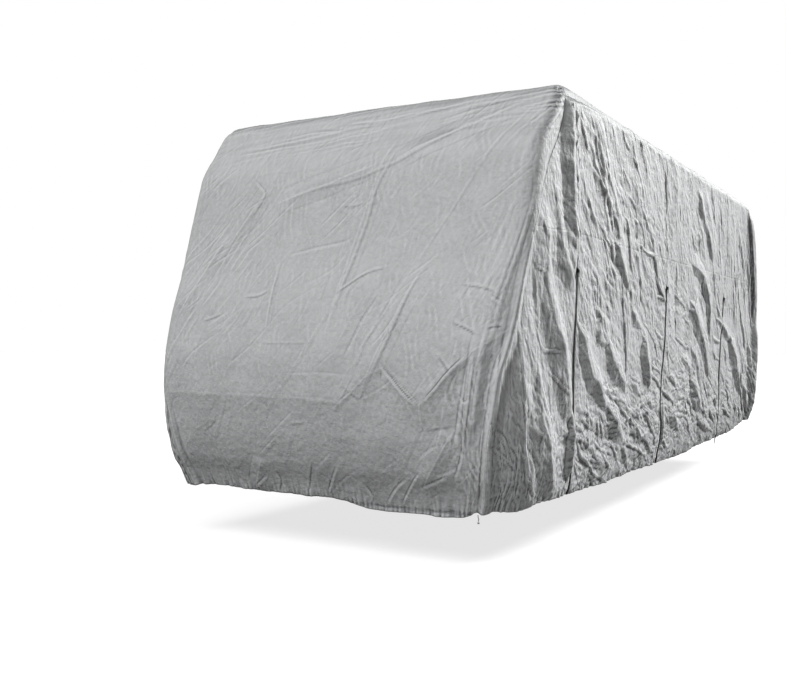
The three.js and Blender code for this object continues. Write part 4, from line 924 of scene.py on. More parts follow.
def end_roughness(spot, line, inside, is_right, seed):
    """The crumple of an end wall. Rows give a seed step, the least and the extra rise, and the lie."""
    busy = zone(spot, line, *BUSY)
    places = {
        "all": 1, "busy": busy, "left": zone(spot, line, *LEFT_PULLS),
        "beside": np.exp(-(inside / BESIDE_WIDE) ** 2) * ease((BESIDE_TOP - line) / BESIDE_FADE) * is_right,
        "high": ease((line - HIGH_FOOT) / HIGH_FADE),
    }
    step, least, more, *lie = BROAD
    rough = (least + more * busy) * crumple(spot, line, seed + step, *lie) * (1 + busy) / 2
    step, least, more, *lie = CROSS_PULLS
    rough += (least + more * busy) * pulled(-spot, line, seed + step, *lie)
    for way, step, where, least, more, lie in END_CRUMPLES:
        rough += (least + more * places[where]) * way(spot, line, seed + step, *lie)
    return rough


print("kinds of crumple on the ends:", len(END_CRUMPLES) + 2)

# %% Shape of the ends
NOSE_CROWN, CROWN_PHASE, END_PLEAT_SEED = 14, 1, 15


def end_shape(at_tail, folds, creases, hem, seed):
    def shape(across, rise):
        height = ROOF + np.minimum(rise, 0)
        line = ROOF + rise
        spot = across + MIDDLE_SHIFT
        edge = HALF_WIDTH + (JOIN if at_tail else corner_seam(height))
        inside = edge - np.abs(across)
        soft = ease(inside / SEAM_CALM) * ease((JOIN - rise) / SEAM_CALM / 2)
        crisp = ease(inside / CREASE_CALM) * ease((JOIN - rise) / CREASE_CALM / 2)
        rough = end_roughness(spot, line, inside, across > 0, seed)
        rough += gathered(spot, line - hem(across), seed + END_PLEAT_SEED)
        ridge = corner_ridge(inside, height, -rise) * (across > 0) * (not at_tail)
        main = NOSE_CROWN * (1 - (across / edge) ** 2)
        main += folded(folds, spot, line) + swelled(across, rise, CROWN_PHASE) / 2
        main += tucked_under(spot, line) * (not at_tail)
        return soft * main + ridge + crisp * (creased(creases, spot, line) + rough)
    return shape


print("the ends stand out in their middle by", NOSE_CROWN, "mm")

# %% Shape of the roof
ROOF_CROWN, ROOF_PHASE, ROOF_END_CALM, ROOF_FLANK_CALM = 22, 3, 4, 3
ROOF_CRUMPLES = [(crumple, 71, 4, 420, 190, 55), (pinched, 75, 1.2, 160, 46, 60)]


def roof_shape(across, run):
    ends = np.minimum(run, long(ROOF) - run) - JOIN
    flanks = HALF_WIDTH - JOIN - np.abs(across)
    soft = ease(ends / SEAM_CALM / ROOF_END_CALM) * ease(flanks / SEAM_CALM / ROOF_FLANK_CALM)
    crisp = ease((ends + JOIN) / CREASE_CALM / ROOF_END_CALM)
    crisp = crisp * ease((flanks + JOIN) / CREASE_CALM / ROOF_FLANK_CALM)
    main = ROOF_CROWN * (1 - (across / HALF_WIDTH) ** 2)
    main += folded(ROOF_FOLDS, across, run) + swelled(across, run, ROOF_PHASE) / 2
    rough = sum(rise * way(run, across, seed, *lie) for way, seed, rise, *lie in ROOF_CRUMPLES)
    return soft * main + crisp * rough


print("the roof stands up in its middle by", ROOF_CROWN, "mm")

# %% Points of the folded cloth
FACE_STEP = 1.5


def facing(base, out, a, b):
    """Which way a wall faces at each place."""
    first = base(a + FACE_STEP, b) - base(a - FACE_STEP, b)
    second = base(a, b + FACE_STEP) - base(a, b - FACE_STEP)
    face = np.cross(first, second) * out
    return face / np.linalg.norm(face, axis=-1, keepdims=True)


def lifted(base, shape, out, a, b, proud=0):
    """Points of a wall's folded cloth, in millimetres, lifted further by `proud`."""
    a, b = np.broadcast_arrays(a, b)
    lift = shape(a, b) + proud
    return base(a, b) + lift[..., None] * facing(base, out, a, b)


def in_row(points):
    """From the working frame in millimetres to the row frame in metres."""
    return (points + ROW_ORIGIN) / 1000


right_wall, left_wall = partial(on_side, 1), partial(on_side, -1)
print("a side wall faces", facing(right_wall, 1, MID_LENGTH, MID_HEIGHT - ROOF).round(2))

# %% [markdown]
# ## The facets where they are
# The facets were drawn over a picture taken from the camera's place, where a point that stands out of
# the wall shows further ahead on it. Each crest is moved until the folded cloth shows it where it was
# drawn. That takes a few rounds, because moving one facet lifts or lowers another. Flanks are seen at a
# slant too, so their widths are made larger toward the tail. The left side takes the wide facets again,
# further back and closer together, as a guess.

# %% How a facet is seen
EYE_AT, SEEN_WALL = np.array(EYE) * 1000 - ROW_ORIGIN, 1150
BACK_SLOPES = [(60, 0.2), (30, 0.28), (0, 0.34)]
WIDE_FLANK, WIDE_SLOPE, NARROW_SLOPE = 40, 0.84, 1.3
NOSE_COLUMN, NOSE_SLOPE = 850, 0.8
WIDENED = np.array([(800, 1.15), (1600, 1.22), (3600, 1.5), (6300, 1.6)])
LEAST_TURNED, END_WIDTH, INNER_WIDTH = 0.5, 4, 8.5


def slant(places):
    """How far sight lines go back and up for each millimetre that they go into the wall."""
    return (places - EYE_AT[1:]) / (EYE_AT[0] - SEEN_WALL)


def seen_at(points):
    """Where points of the cloth show on the flat wall."""
    share = (EYE_AT[0] - SEEN_WALL) / (EYE_AT[0] - points[..., :1])
    return EYE_AT[1:] + share * (points[..., 1:] - EYE_AT[1:])


def true_slope(slope, points):
    """The slope ahead of a crest: narrow flanks are steeper than they were drawn, wide ones gentler."""
    slope = slope * (NARROW_SLOPE if points[:, 2].max() < WIDE_FLANK else WIDE_SLOPE)
    return slope * (NOSE_SLOPE if points[:, 0].mean() < NOSE_COLUMN else 1)


def true_widths(slope, points):
    """A flank that faces the eye is seen wider than it is, and one at a slant narrower."""
    way = np.gradient(points[:, :2], axis=0)
    way /= np.linalg.norm(way, axis=1, keepdims=True)
    ahead = np.stack([way[:, 1], -way[:, 0]], 1)
    turned = 1 - slope * (ahead * slant(points[:, :2])).sum(1)
    widths = points[:, 2] * np.interp(points[:, 0], *WIDENED.T) / np.maximum(turned, LEAST_TURNED)
    widths = np.maximum(widths, END_WIDTH)
    widths[1:-1] = np.maximum(widths[1:-1], INNER_WIDTH)
    return widths


def back_slope(points):
    """The slope behind a crest, gentler where its flank is wider."""
    return next(slope for wider, slope in BACK_SLOPES if points[:, 2].max() > wider)


print("a sight line to the tail goes back", slant(np.array([6000, MID_HEIGHT]))[0].round(1), "mm for each in")

# %% Set the facets back
FIRST_LIFT, ROUNDS, MOVE_SHARE, MOVE_MOST = 15, 6, 0.7, 80
FIRST_BACK, TAIL_ROOM, EVENED, ROUNDED = -100, 25, 0.3, 5
SEEDS = {"right": 11, "left": 211, "nose": 31, "tail": 51}


def evened(shifts):
    """Shifts along one crest, drawn toward those of their neighbours."""
    near = [shifts[max(0, k - 1):k + 2].mean(0) for k in range(len(shifts))]
    return (1 - EVENED) * shifts + EVENED * np.array(near)


def set_back():
    """The seen facets, moved until each shows where it was drawn."""
    drawn = [(row[0], None, np.array(row[1:], float)) for row in SEEN_FACETS]
    drawn += [(row[0], row[1], np.array(row[2:], float)) for row in SEEN_RIDGES]
    slopes = [(true_slope(ahead, points), behind or back_slope(points)) for ahead, behind, points in drawn]
    widths = [true_widths(ahead, points) for (ahead, _), (*_, points) in zip(slopes, drawn)]
    cuts = np.cumsum([len(width) for width in widths])[:-1]
    seen = np.concatenate([points[:, :2] for *_, points in drawn])
    places = seen - np.outer(FIRST_LIFT * slant(seen)[:, 0], (1, 0))

    def rows(places):
        crests = np.split(places, cuts)
        return [(*pair, *np.c_[crest, width]) for pair, crest, width in zip(slopes, crests, widths)]

    for _ in range(ROUNDS):
        rise = places[:, 1] - ROOF
        run = places[:, 0] - nose_back(ROOF + np.minimum(rise, 0))
        shape = side_shape(RIGHT_FOLDS, rows(places), True, 0, SEEDS["right"])
        missed = seen - seen_at(lifted(right_wall, shape, 1, run, rise))
        places = places + MOVE_SHARE * np.clip(missed, -MOVE_MOST, MOVE_MOST)
        places[:, 0] = np.clip(places[:, 0], FIRST_BACK, tail_back(places[:, 1]) - JOIN - TAIL_ROOM)
    print("crests miss their drawn places by", np.abs(missed).mean(0).round(1), "mm")
    places = seen + np.vstack([evened(shifts) for shifts in np.split(places - seen, cuts)])
    widths = [width.round() for width in widths]
    return rows((places / ROUNDED).round() * ROUNDED)


right_facets = [*set_back(), ZIP_COVER]
print("facets on the right:", len(right_facets))

# %% Facets of the left side
LEFT_BACK, LEFT_SQUEEZE, LEFT_SLOPE, LEFT_LEAST = 330, 0.91, 0.8, 24


def moved(rows):
    """The wide facets further back and closer together, as the left side's own."""
    wide = [row for row in rows if max(width for *_, width in row[2:]) > LEFT_LEAST]
    return [(ahead * LEFT_SLOPE, behind, *((a * LEFT_SQUEEZE + LEFT_BACK, b, w) for a, b, w in points))
            for ahead, behind, *points in wide]


left_facets = moved(right_facets)
print("facets on the left:", len(left_facets))

# %% The five walls
WALLS = {
    "right": (right_wall, side_shape(RIGHT_FOLDS, right_facets, True, 0, SEEDS["right"]), 1),
    "left": (left_wall, side_shape(LEFT_FOLDS, left_facets, False, 2, SEEDS["left"]), -1),
    "nose": (partial(on_end, False), end_shape(False, NOSE_FOLDS, NOSE_CREASES, nose_hem, SEEDS["nose"]), 1),
    "tail": (partial(on_end, True), end_shape(True, TAIL_FOLDS, [], tail_hem, SEEDS["tail"]), -1),
    "roof": (on_roof, roof_shape, 1),
}


def on_cloth(wall, a, b, proud=0):
    """Points of one of the five walls, with everything that lifts its cloth."""
    return lifted(*WALLS[wall], a, b, proud)


print("walls:", ", ".join(WALLS))

# %% [markdown]
# ## Sheets
# A panel is a net of points, close together where it faces the camera and near its seams, wider apart
# elsewhere. Along a seam its edge turns in a few millimetres; along the hem it is turned up inside, so
# its lower rim is round and double. Two numbers stay on each point for the finish: how far it is
# from the nearest seam, and how sharply the cloth bends there. Panels at the tail seam get a third, for
# a strip of painted shade beside it.

# %% Spacing and seams of a sheet
EDGE_STEPS = (0, 2.5, 6, 10, 15)
HEM_TURN = ((24, 4.2), (3, 3.8), (0.4, 2.2), (0, 0.8))
VALLEY, VALLEY_WIDE, LIP, LIP_AT, LEVEL_SHARE = 1.6, 5, 1.0, 11, 0.3


def spaced(size, cell, fine_start=True, fine_end=True):
    """Shares of a length, close together near its ends."""
    start = EDGE_STEPS if fine_start else (0,)
    end = EDGE_STEPS if fine_end else (0,)
    count = max(2, round((size - start[-1] - end[-1]) / cell))
    inner = np.linspace(start[-1], size - end[-1], count + 1)
    return np.concatenate([start[:-1], inner, size - np.array(end[:-1])[::-1]]) / size


def seam_dip(inset):
    """How the cloth goes in at a sewn edge and stands up beside it."""
    return LIP * np.exp(-((inset - LIP_AT) / VALLEY_WIDE) ** 2) - VALLEY * np.exp(-(inset / VALLEY_WIDE) ** 2)


print("a sewn edge lies", VALLEY, "mm low, and a hem is turned up by", HEM_TURN[0][0], "mm")

# %% Sheets from nets
WIDE_BEND, FLAT_STEPS = 5, 100
cloth_pieces = []


def bending(points, reach):
    """How sharply a net bends at each point, measured over so many cells to each side."""
    inner, low, high = slice(reach, -reach), slice(None, -2 * reach), slice(2 * reach, None)
    across, down = (points[inner, low], points[inner, high]), (points[low, inner], points[high, inner])
    side = np.cross(across[1] - across[0], down[1] - down[0])
    side /= np.linalg.norm(side, axis=-1, keepdims=True)
    gap = points[inner, inner] - (sum(across) + sum(down)) / 4
    return np.pad((gap * side).sum(-1) / reach ** 2, reach, mode="edge")


def add_number(mesh, name, values):
    mesh.attributes.new(name, "FLOAT", "POINT").data.foreach_set("value", values.ravel().astype(np.float32))


def net(name, points, inset, outward):
    """A mesh from rows and columns of points."""
    rows, columns = points.shape[:2]
    index = np.arange(rows * columns).reshape(rows, columns)
    quads = np.stack([index[:-1, :-1], index[:-1, 1:], index[1:, 1:], index[1:, :-1]], -1).reshape(-1, 4)
    if outward < 0:
        quads = quads[:, ::-1]
    mesh = bpy.data.meshes.new(name)
    mesh.from_pydata(in_row(points).reshape(-1, 3).tolist(), [], quads.tolist())
    mesh.shade_smooth()
    add_number(mesh, "inset", inset)
    add_number(mesh, "bend", (bending(points, 1) - bending(points, WIDE_BEND)) * outward)
    piece = bpy.data.objects.new(name, mesh)
    bpy.context.scene.collection.objects.link(piece)
    return piece


def hang(name, node, points, inset, outward, rests_on):
    piece = net(name, points, inset, outward)
    laid = in_row(points)
    wide = np.linalg.norm(np.diff(laid, axis=1), axis=-1).sum(1).max()
    tall = np.linalg.norm(np.diff(laid, axis=0), axis=-1).sum(0).max()
    area = sum(face.area for face in piece.data.polygons)
    flat = tuple(math.ceil(size * FLAT_STEPS) / FLAT_STEPS for size in (wide, tall))
    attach(piece, "root")
    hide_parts(node)
    cloth_pieces.append((piece, flat, round(float(area), 3), rests_on))
    print(name, "flat", flat, "area", round(area, 2), "faces", len(piece.data.polygons))
    return piece


# %% Panels of the sides
CELLS = {"right": (7.2, 9.2), "left": (18, 18), "nose": (8.7, 8.7), "tail": (16, 16), "roof": (20, 20)}
ZIP_EASE = 34
# A strip of painted shade beside the tail seam, where the cloth turns away into shade.
TAIL_SHADE_AT, TAIL_SHADE_WIDE = 118, 38
TAIL_SHADE = [(400, 0.5), (1000, 0.7), (1250, 0.2), (1500, 0.9), (2350, 1), (2500, 0.6), (2560, 0)]
tail_shade_strength = smooth(TAIL_SHADE)


def side_panel(name, node, wall, first, final, upper, rests_on):
    """One panel between two upright edges, above or below the level seam."""
    zips = wall == "right" and not upper
    cell_along, cell_up = CELLS[wall]
    middle = CROSS_SEAM if upper else (CROSS_SEAM + HEM_LEVEL) / 2
    width = side_edge(final, middle) - side_edge(first, middle)
    tall = ROOF - CROSS_SEAM if upper else CROSS_SEAM - HEM_LEVEL
    u = spaced(width, cell_along)[None, :]
    v = spaced(tall, cell_up, fine_start=upper)[:, None]
    turned = np.array(() if upper else HEM_TURN).reshape(-1, 2)
    v = np.vstack([np.zeros((len(turned), 1)), v])
    above = np.concatenate([turned[:, 0], np.zeros(len(v) - len(turned))])[:, None]
    tuck = np.concatenate([turned[:, 1], np.zeros(len(v) - len(turned))])[:, None]

    def run_at(height):
        low, high = side_edge(first, height), side_edge(final, height)
        opened = ease((ZIP_TOP + ZIP_EASE / 2 - height) / ZIP_EASE) * zips
        gaps = [
            SEAM_GAP + (ZIP_WIDTH - SEAM_GAP) * opened * (0 < edge < TAIL_EDGE) for edge in (first, final)
        ]
        low, high = low + gaps[0] / 2, high - gaps[1] / 2
        return low + (high - low) * u, low, high

    if upper:
        start = CROSS_SEAM - ROOF + SEAM_GAP / 2
        top = roof_seam(run_at(ROOF - JOIN)[0] + nose_back(ROOF - JOIN)) - SEAM_GAP / 2
        rise = start + (top - start) * v
    else:
        foot = side_hem(run_at(HEM_LEVEL)[0] + nose_back(HEM_LEVEL))
        rise = foot + (CROSS_SEAM - SEAM_GAP / 2 - foot) * v + above - ROOF
    run, low, high = run_at(np.minimum(ROOF, ROOF + rise))
    level = np.abs(rise - (CROSS_SEAM - ROOF))
    inset = np.minimum(run - low, high - run)
    if upper:
        inset = np.minimum(inset, top - rise)
    proud = seam_dip(inset) + LEVEL_SHARE * seam_dip(level) - tuck
    inset = np.minimum(inset, level)
    piece = hang(name, node, on_cloth(wall, run, rise, proud), inset / 1000, WALLS[wall][2], rests_on)
    # Panels at the tail seam carry a strip of painted shade beside it.
    if final == TAIL_EDGE:
        near_tail = np.exp(-((high - run - TAIL_SHADE_AT) / TAIL_SHADE_WIDE) ** 2)
        add_number(piece.data, "painted_tail_shade", near_tail * tail_shade_strength(ROOF + rise))


COLUMNS = ("nose", "door", "middle", "tail")
for k, column in enumerate(COLUMNS):
    for upper in (True, False):
        node = f"right_{column}_{'upper' if upper else 'lower'}"
        held_by = "roof_cloth" if upper else f"right_{column}_upper_cloth"
        side_panel(node + "_cloth", node, "right", k, k + 1, upper, held_by)
side_panel("left_upper_cloth", "left_upper", "left", 0, TAIL_EDGE, True, "roof_cloth")
side_panel("left_lower_cloth", "left_lower", "left", 0, TAIL_EDGE, False, "left_upper_cloth")

# %% Panels of the ends and the roof
CORNER_SHARE, CORNER_CELL = (HALF_WIDTH - JOIN) / (HALF_WIDTH + JOIN), 12


def both_ways(shares):
    """Shares from -1 to 1 out of shares from 0 to 1."""
    return np.concatenate([-shares[:0:-1], shares])


def half_shares(cell):
    """Shares from the middle to the edge, with a stop where the top corner starts."""
    inner = HALF_WIDTH - JOIN
    flat = spaced(inner, cell, False, False) * CORNER_SHARE
    corner = CORNER_SHARE + spaced(2 * JOIN, min(cell, CORNER_CELL), False, True) * (1 - CORNER_SHARE)
    return np.concatenate([flat, corner[1:]])


def end_panel(name, node, wall, hem, rests_on):
    at_tail = wall == "tail"
    cell_across, cell_up = CELLS[wall]
    u = both_ways(half_shares(cell_across))[None, :]
    v_low = spaced(CROSS_SEAM - HEM_LEVEL, cell_up, False, False)
    v_high = 1 + spaced(ROOF - CROSS_SEAM + JOIN, cell_up, False, True)[1:]
    v = np.concatenate([np.zeros(len(HEM_TURN)), v_low, v_high])[:, None]
    turned = np.zeros((len(v), 2))
    turned[:len(HEM_TURN)] = HEM_TURN
    crest = np.clip(HALF_WIDTH - np.abs(u) * (HALF_WIDTH + JOIN), -JOIN, JOIN) - SEAM_GAP / 2

    def edge(height):
        return HALF_WIDTH + (JOIN if at_tail else corner_seam(height))

    foot = hem(u * edge(HEM_LEVEL))
    lower = foot + (CROSS_SEAM - foot) * np.minimum(v, 1) - ROOF
    start = CROSS_SEAM - ROOF
    rise = np.where(v <= 1, lower, start + (crest - start) * (v - 1)) + turned[:, :1]
    height = np.minimum(ROOF + rise, ROOF)
    rim = edge(height) - SEAM_GAP / 2
    across = np.clip(u * edge(height), -rim, rim)
    inset = np.minimum(rim - np.abs(across), np.maximum(crest - rise, 0))
    proud = seam_dip(inset) - turned[:, 1:]
    hang(name, node, on_cloth(wall, across, rise, proud), inset / 1000, WALLS[wall][2], rests_on)


end_panel("nose_panel_cloth", "nose_panel", "nose", nose_hem, "roof_cloth")
end_panel("tail_panel_cloth", "tail_panel", "tail", tail_hem, "roof_cloth")

# %% Roof panel
def roof_panel(name, node):
    cell_across, cell_along = CELLS["roof"]
    u = both_ways(half_shares(cell_across))[None, :]
    v = spaced(long(ROOF) - 2 * JOIN, cell_along)[:, None]
    low, high = corner_seam(ROOF - JOIN), long(ROOF - JOIN) - JOIN
    rise = roof_seam(low + (high - low) * v + nose_back(ROOF - JOIN))
    rim = HALF_WIDTH - rise - SEAM_GAP / 2
    across = np.clip(u * (HALF_WIDTH - rise), -rim, rim)
    inset_corner = np.minimum(JOIN, np.abs(HALF_WIDTH - np.abs(u) * (HALF_WIDTH + JOIN)))
    hung = np.maximum(np.abs(across) - HALF_WIDTH, 0)
    end = long(ROOF - hung)
    run = inset_corner + SEAM_GAP / 2 + (end - 2 * inset_corner - SEAM_GAP) * v
    inset = np.minimum(rim - np.abs(across), np.minimum(run - inset_corner, end - inset_corner - run))
    hang(name, node, on_cloth("roof", across, run, seam_dip(inset)), inset / 1000, 1, ())


roof_panel("roof_cloth", "roof_panel")

# %% [markdown]
# ## The zips
# Each zip is a coil zip on black tape, closed, in the lower half of an upright seam. It lies a little
# below the folded cloth edges. The tape is one narrow net along the seam, and the coil is a round ridge
# on it with a small wave for each turn of the coil.

# %% Zip tapes and coils
ZIP_STEP, COIL_HALF, COIL_RAISE = 2.5, 5.4, 4.2
COIL_PITCH, COIL_WAVE, COIL_SHIFT = 10, 0.6, 0.9
TAPE_SINK = -1.4
ZIP_OFFSETS = np.array([-17, -12, -7.5, -5.1, -3.6, -1.8, 0, 1.8, 3.6, 5.1, 7.5, 12, 17])
zip_pieces = {}


def coil_height(offset, height):
    """The coil's round ridge on the tape, with one wave for each turn of the coil."""
    round_part = np.sqrt(np.clip(1 - (offset / COIL_HALF) ** 2, 0, 1)) * COIL_RAISE
    turns = COIL_WAVE * np.sin(2 * math.pi * (height / COIL_PITCH) + np.sign(offset) * COIL_SHIFT)
    return round_part + turns * (round_part > 0) - TAPE_SINK


for seam, table in enumerate(upright_seams):
    node = f"zip_{seam + 1}"
    foot = float(side_hem(table(HEM_LEVEL))) - (ZIP_TAIL if seam == 2 else 0)
    height = np.arange(foot, ZIP_TOP, ZIP_STEP)[:, None]
    offset = ZIP_OFFSETS[None, :]
    run = side_edge(seam + 1, height) + offset
    rise = height - ROOF + 0 * offset
    points = on_cloth("right", run, rise, coil_height(offset, height))
    piece = net(f"{node}_tape", points, np.abs(offset) / 1000 + 0 * height, 1)
    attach(piece, "root")
    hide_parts(node)
    zip_pieces[seam] = [piece]
    print(piece.name, "from", round(foot), "to", ZIP_TOP)

# %% [markdown]
# A slider is cast metal with a bridge, and its flat puller hangs from the bridge by an eye. Both are
# cut from a side or front outline, pushed to their depth, and their edges are rounded.

# %% A flat shape with a hole
ROUND_EDGE, WELD = 0.0006, 1e-6


def cut_out(name, outer, hole, depth, matrix):
    """A flat outline with one hole, pushed to a depth and given round edges."""
    shape = bpy.data.curves.new(name, "CURVE")
    shape.dimensions, shape.fill_mode = "2D", "BOTH"
    shape.extrude = depth / 2
    for loop in (outer, hole):
        spline = shape.splines.new("POLY")
        spline.points.add(len(loop) - 1)
        spline.points.foreach_set("co", [n for x, y in loop for n in (x, y, 0, 1)])
        spline.use_cyclic_u = True
    drawn = bpy.data.objects.new(name + "_outline", shape)
    bpy.context.scene.collection.objects.link(drawn)
    bpy.context.view_layer.update()
    mesh = bpy.data.meshes.new_from_object(drawn)
    bpy.data.objects.remove(drawn)
    solid = bmesh.new()
    solid.from_mesh(mesh)
    bmesh.ops.remove_doubles(solid, verts=solid.verts, dist=WELD)
    solid.to_mesh(mesh)
    solid.free()
    mesh.transform(matrix)
    piece = bpy.data.objects.new(name, mesh)
    bpy.context.scene.collection.objects.link(piece)
    edges = piece.modifiers.new("round edges", "BEVEL")
    edges.width, edges.segments, edges.limit_method = ROUND_EDGE, 2, "ANGLE"
    return piece


print("edges are rounded by", ROUND_EDGE * 1000, "mm")

# %% Where a slider sits
SLIDER = {"half": 12, "width": 12, "plate": 3.5, "leg": 4, "foot": 9, "crest": 9, "slope": 2,
          "floor": 4.5, "ceiling": 7.5, "seat": 0.5}
PULLER = {"head": 10, "eye": 6.7, "bar": 3, "reach": 10, "tab": 5.5, "length": 38, "corner": 2,
          "lift": 4.8, "thick": 2.4}


def seat_on_zip(seam):
    """The frame of a slider at the top of its zip: across, up and out of the cloth."""
    top, low = ZIP_TOP - SLIDER["leg"], ZIP_TOP - SLIDER["leg"] - 2 * SLIDER["half"]
    height = np.array([[low], [top]])
    run = side_edge(seam + 1, height)
    raised = COIL_RAISE - TAPE_SINK + SLIDER["seat"]
    below, above = in_row(on_cloth("right", run, height - ROOF, raised))[:, 0]
    out = Vector(facing(right_wall, 1, run, height - ROOF)[0, 0])
    up = Vector(above - below).normalized()
    side = up.cross(out).normalized()
    face = side.cross(up)
    basis = Matrix((side, up, face)).transposed().to_4x4()
    return Matrix.Translation(Vector((above + below) / 2)) @ basis


print("first slider at", [round(n, 3) for n in seat_on_zip(0).translation])

# %% Outlines of slider and puller
def metres(loop):
    return [(x / 1000, y / 1000) for x, y in loop]


s, p = SLIDER, PULLER
leg_in = s["foot"] - s["leg"]
SIDE_OUTLINE = metres([
    (-s["half"], 0), (s["half"], 0), (s["half"], s["plate"]), (s["foot"], s["plate"]),
    (s["foot"] - s["slope"], s["crest"]), (s["slope"] - s["foot"], s["crest"]),
    (-s["foot"], s["plate"]), (-s["half"], s["plate"]),
])
SIDE_HOLE = metres([
    (-leg_in, s["floor"]), (-leg_in, s["ceiling"]), (leg_in, s["ceiling"]), (leg_in, s["floor"]),
])
neck = -p["reach"] - p["bar"]
FRONT_OUTLINE = metres([
    (-p["head"], p["bar"] / 2), (-p["head"], neck), (-p["tab"], neck - p["bar"]),
    (-p["tab"], p["corner"] - p["length"]), (p["corner"] - p["tab"], -p["length"]),
    (p["tab"] - p["corner"], -p["length"]), (p["tab"], p["corner"] - p["length"]),
    (p["tab"], neck - p["bar"]), (p["head"], neck), (p["head"], p["bar"] / 2),
])
FRONT_HOLE = metres([
    (-p["eye"], -p["bar"] / 2), (p["eye"], -p["bar"] / 2), (p["eye"], -p["reach"]),
    (-p["eye"], -p["reach"]),
])
print("corners of the outlines:", len(SIDE_OUTLINE), "and", len(FRONT_OUTLINE))

# %% Sliders and pullers
STAND_UP = Matrix(((0, 0, 1, 0), (1, 0, 0, 0), (0, 1, 0, 0), (0, 0, 0, 1)))
for seam in range(len(upright_seams)):
    seat = seat_on_zip(seam)
    lift = Matrix.Translation((0, 0, (p["lift"] + p["thick"] / 2) / 1000))
    for part, outer, hole, depth, turn_to in (
        ("slider", SIDE_OUTLINE, SIDE_HOLE, s["width"], STAND_UP),
        ("puller", FRONT_OUTLINE, FRONT_HOLE, p["thick"], lift),
    ):
        node = f"zip_{seam + 1}_{part}"
        piece = cut_out(f"{node}_metal", outer, hole, depth / 1000, seat @ turn_to)
        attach(piece, "root")
        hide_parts(node)
        zip_pieces[seam].append(piece)
print("sliders and pullers:", 2 * len(upright_seams))

# %% [markdown]
# ## What each sheet is
# Every panel is listed with the size it is cut to. Cloth hardly stretches, so the flat area is the
# area of the folded sheet, and its width and length are measured along the cloth.

print("sheets:", len(cloth_pieces), "in all", round(sum(area for _, _, area, _ in cloth_pieces), 1), "m2")

# %% [markdown]
# ## Shader sums
# A finish is a sum of masks and textures. Written as node links such sums are hard to read, so one
# small class stands for a socket. Its operators add Math nodes, and one method adds any other node from
# its type, its settings and its inputs.

# %% The shader class
class Shade:
    """An output of a material's nodes, or its empty start, that can be used in Python sums."""

    def __init__(self, tree, out=None):
        self.tree, self.out = tree, out

    def node(self, kind, settings=None, inputs=None, output=0):
        made = self.tree.nodes.new(kind)
        for name, value in (settings or {}).items():
            setattr(made, name, value)
        for name, value in (inputs or {}).items():
            if isinstance(value, Shade):
                self.tree.links.new(value.out, made.inputs[name])
            else:
                made.inputs[name].default_value = value
        return Shade(self.tree, made.outputs[output])

    def mask(self, name):
        """A number that each point of the mesh carries."""
        return self.node("ShaderNodeAttribute", {"attribute_name": name}, output="Fac")

    def part(self, axis):
        """One of the three numbers of a vector."""
        return self.node("ShaderNodeSeparateXYZ", {}, {"Vector": self}, axis)

    def mixed(self, dark, pale):
        """A colour between two, given as red, green and blue, by this number as the share."""
        return self.node("ShaderNodeMix", {"data_type": "RGBA"}, {
            "Factor": self, "A": (*dark, 1), "B": (*pale, 1),
        }, output="Result")

    def noise(self, scale, detail, roughness=0.55):
        """Cloudy noise at this place."""
        return self.node("ShaderNodeTexNoise", {}, {
            "Vector": self, "Scale": scale, "Detail": detail, "Roughness": roughness,
        })

    def bump(self, strength):
        """A normal that is tilted by this height in metres."""
        return self.node("ShaderNodeBump", {}, {"Height": self, "Distance": 1.0, "Strength": strength})

    def math(self, operation, *values):
        return self.node("ShaderNodeMath", {"operation": operation}, dict(enumerate(values)))

    def clamped(self, low, high):
        return self.math("MINIMUM", self.math("MAXIMUM", self, low), high)

    def __add__(self, other):
        return self.math("ADD", self, other)

    def __sub__(self, other):
        return self.math("SUBTRACT", self, other)

    def __rsub__(self, other):
        return self.math("SUBTRACT", other, self)

    def __mul__(self, other):
        return self.math("MULTIPLY", self, other)

    __radd__, __rmul__ = __add__, __mul__


def finish(name, build):
    """A material whose shader gets what `build` returns for each of its inputs."""
    material = bpy.data.materials.new(name)
    material.use_nodes = True
    tree = material.node_tree
    shader = next(node for node in tree.nodes if node.type == "BSDF_PRINCIPLED")
    for socket, value in build(Shade(tree)).items():
        if isinstance(value, Shade):
            tree.links.new(value.out, shader.inputs[socket])
        else:
            shader.inputs[socket].default_value = value
    return material


print("shader class ready")

# %% [markdown]
# ## Cloth finish
# The cloth is a non-woven: fibres pressed together in fine dots, grey, blotchy over a hand's width and
# almost without gloss. Creases get painted shade and crests a painted highlight, which the bend of each
# point gives. A line of stitches runs beside each seam. Painted shade darkens the cloth that faces up on
# the flat roof and the long round edges below it, the cloth grows darker toward the hem, and a strip of
# painted shade runs down beside the tail seam. Fine crumple that is smaller than the net is a bump here.

# %% Cloth finish
CLOTH_DARK, CLOTH_PALE = (0.10, 0.102, 0.105), (0.45, 0.455, 0.46)
CLOTH_TONE, CLOTH_ROUGH, ROUGH_CHANGE, CLOTH_GLOSS = 0.81, 0.66, 0.2, 0.1
BLOTCH, BLOTCH_SCALE, FLECK, FLECK_SCALE, FLECK_ROUGH = 0.26, 7, 0.14, 55, 0.7
# Painted shade in creases and painted highlight on crests, set by the bend of each point.
BEND_SHARE, BEND_SHADE, BEND_HIGHLIGHT = 0.85, -0.6, 0.26
STITCH, STITCH_INSET, STITCH_HALF = 0.10, 0.008, 0.0012
# Painted shade on cloth that faces up, on the roof and its long round edges.
TOP_SHADE, TOP_SHADE_FROM, TOP_SHADE_MOST = 1.6, 0.66, 0.2
EDGE_SHADE, EDGE_SHADE_FROM, EDGE_SHADE_MOST = 1.9, 0.15, 0.28
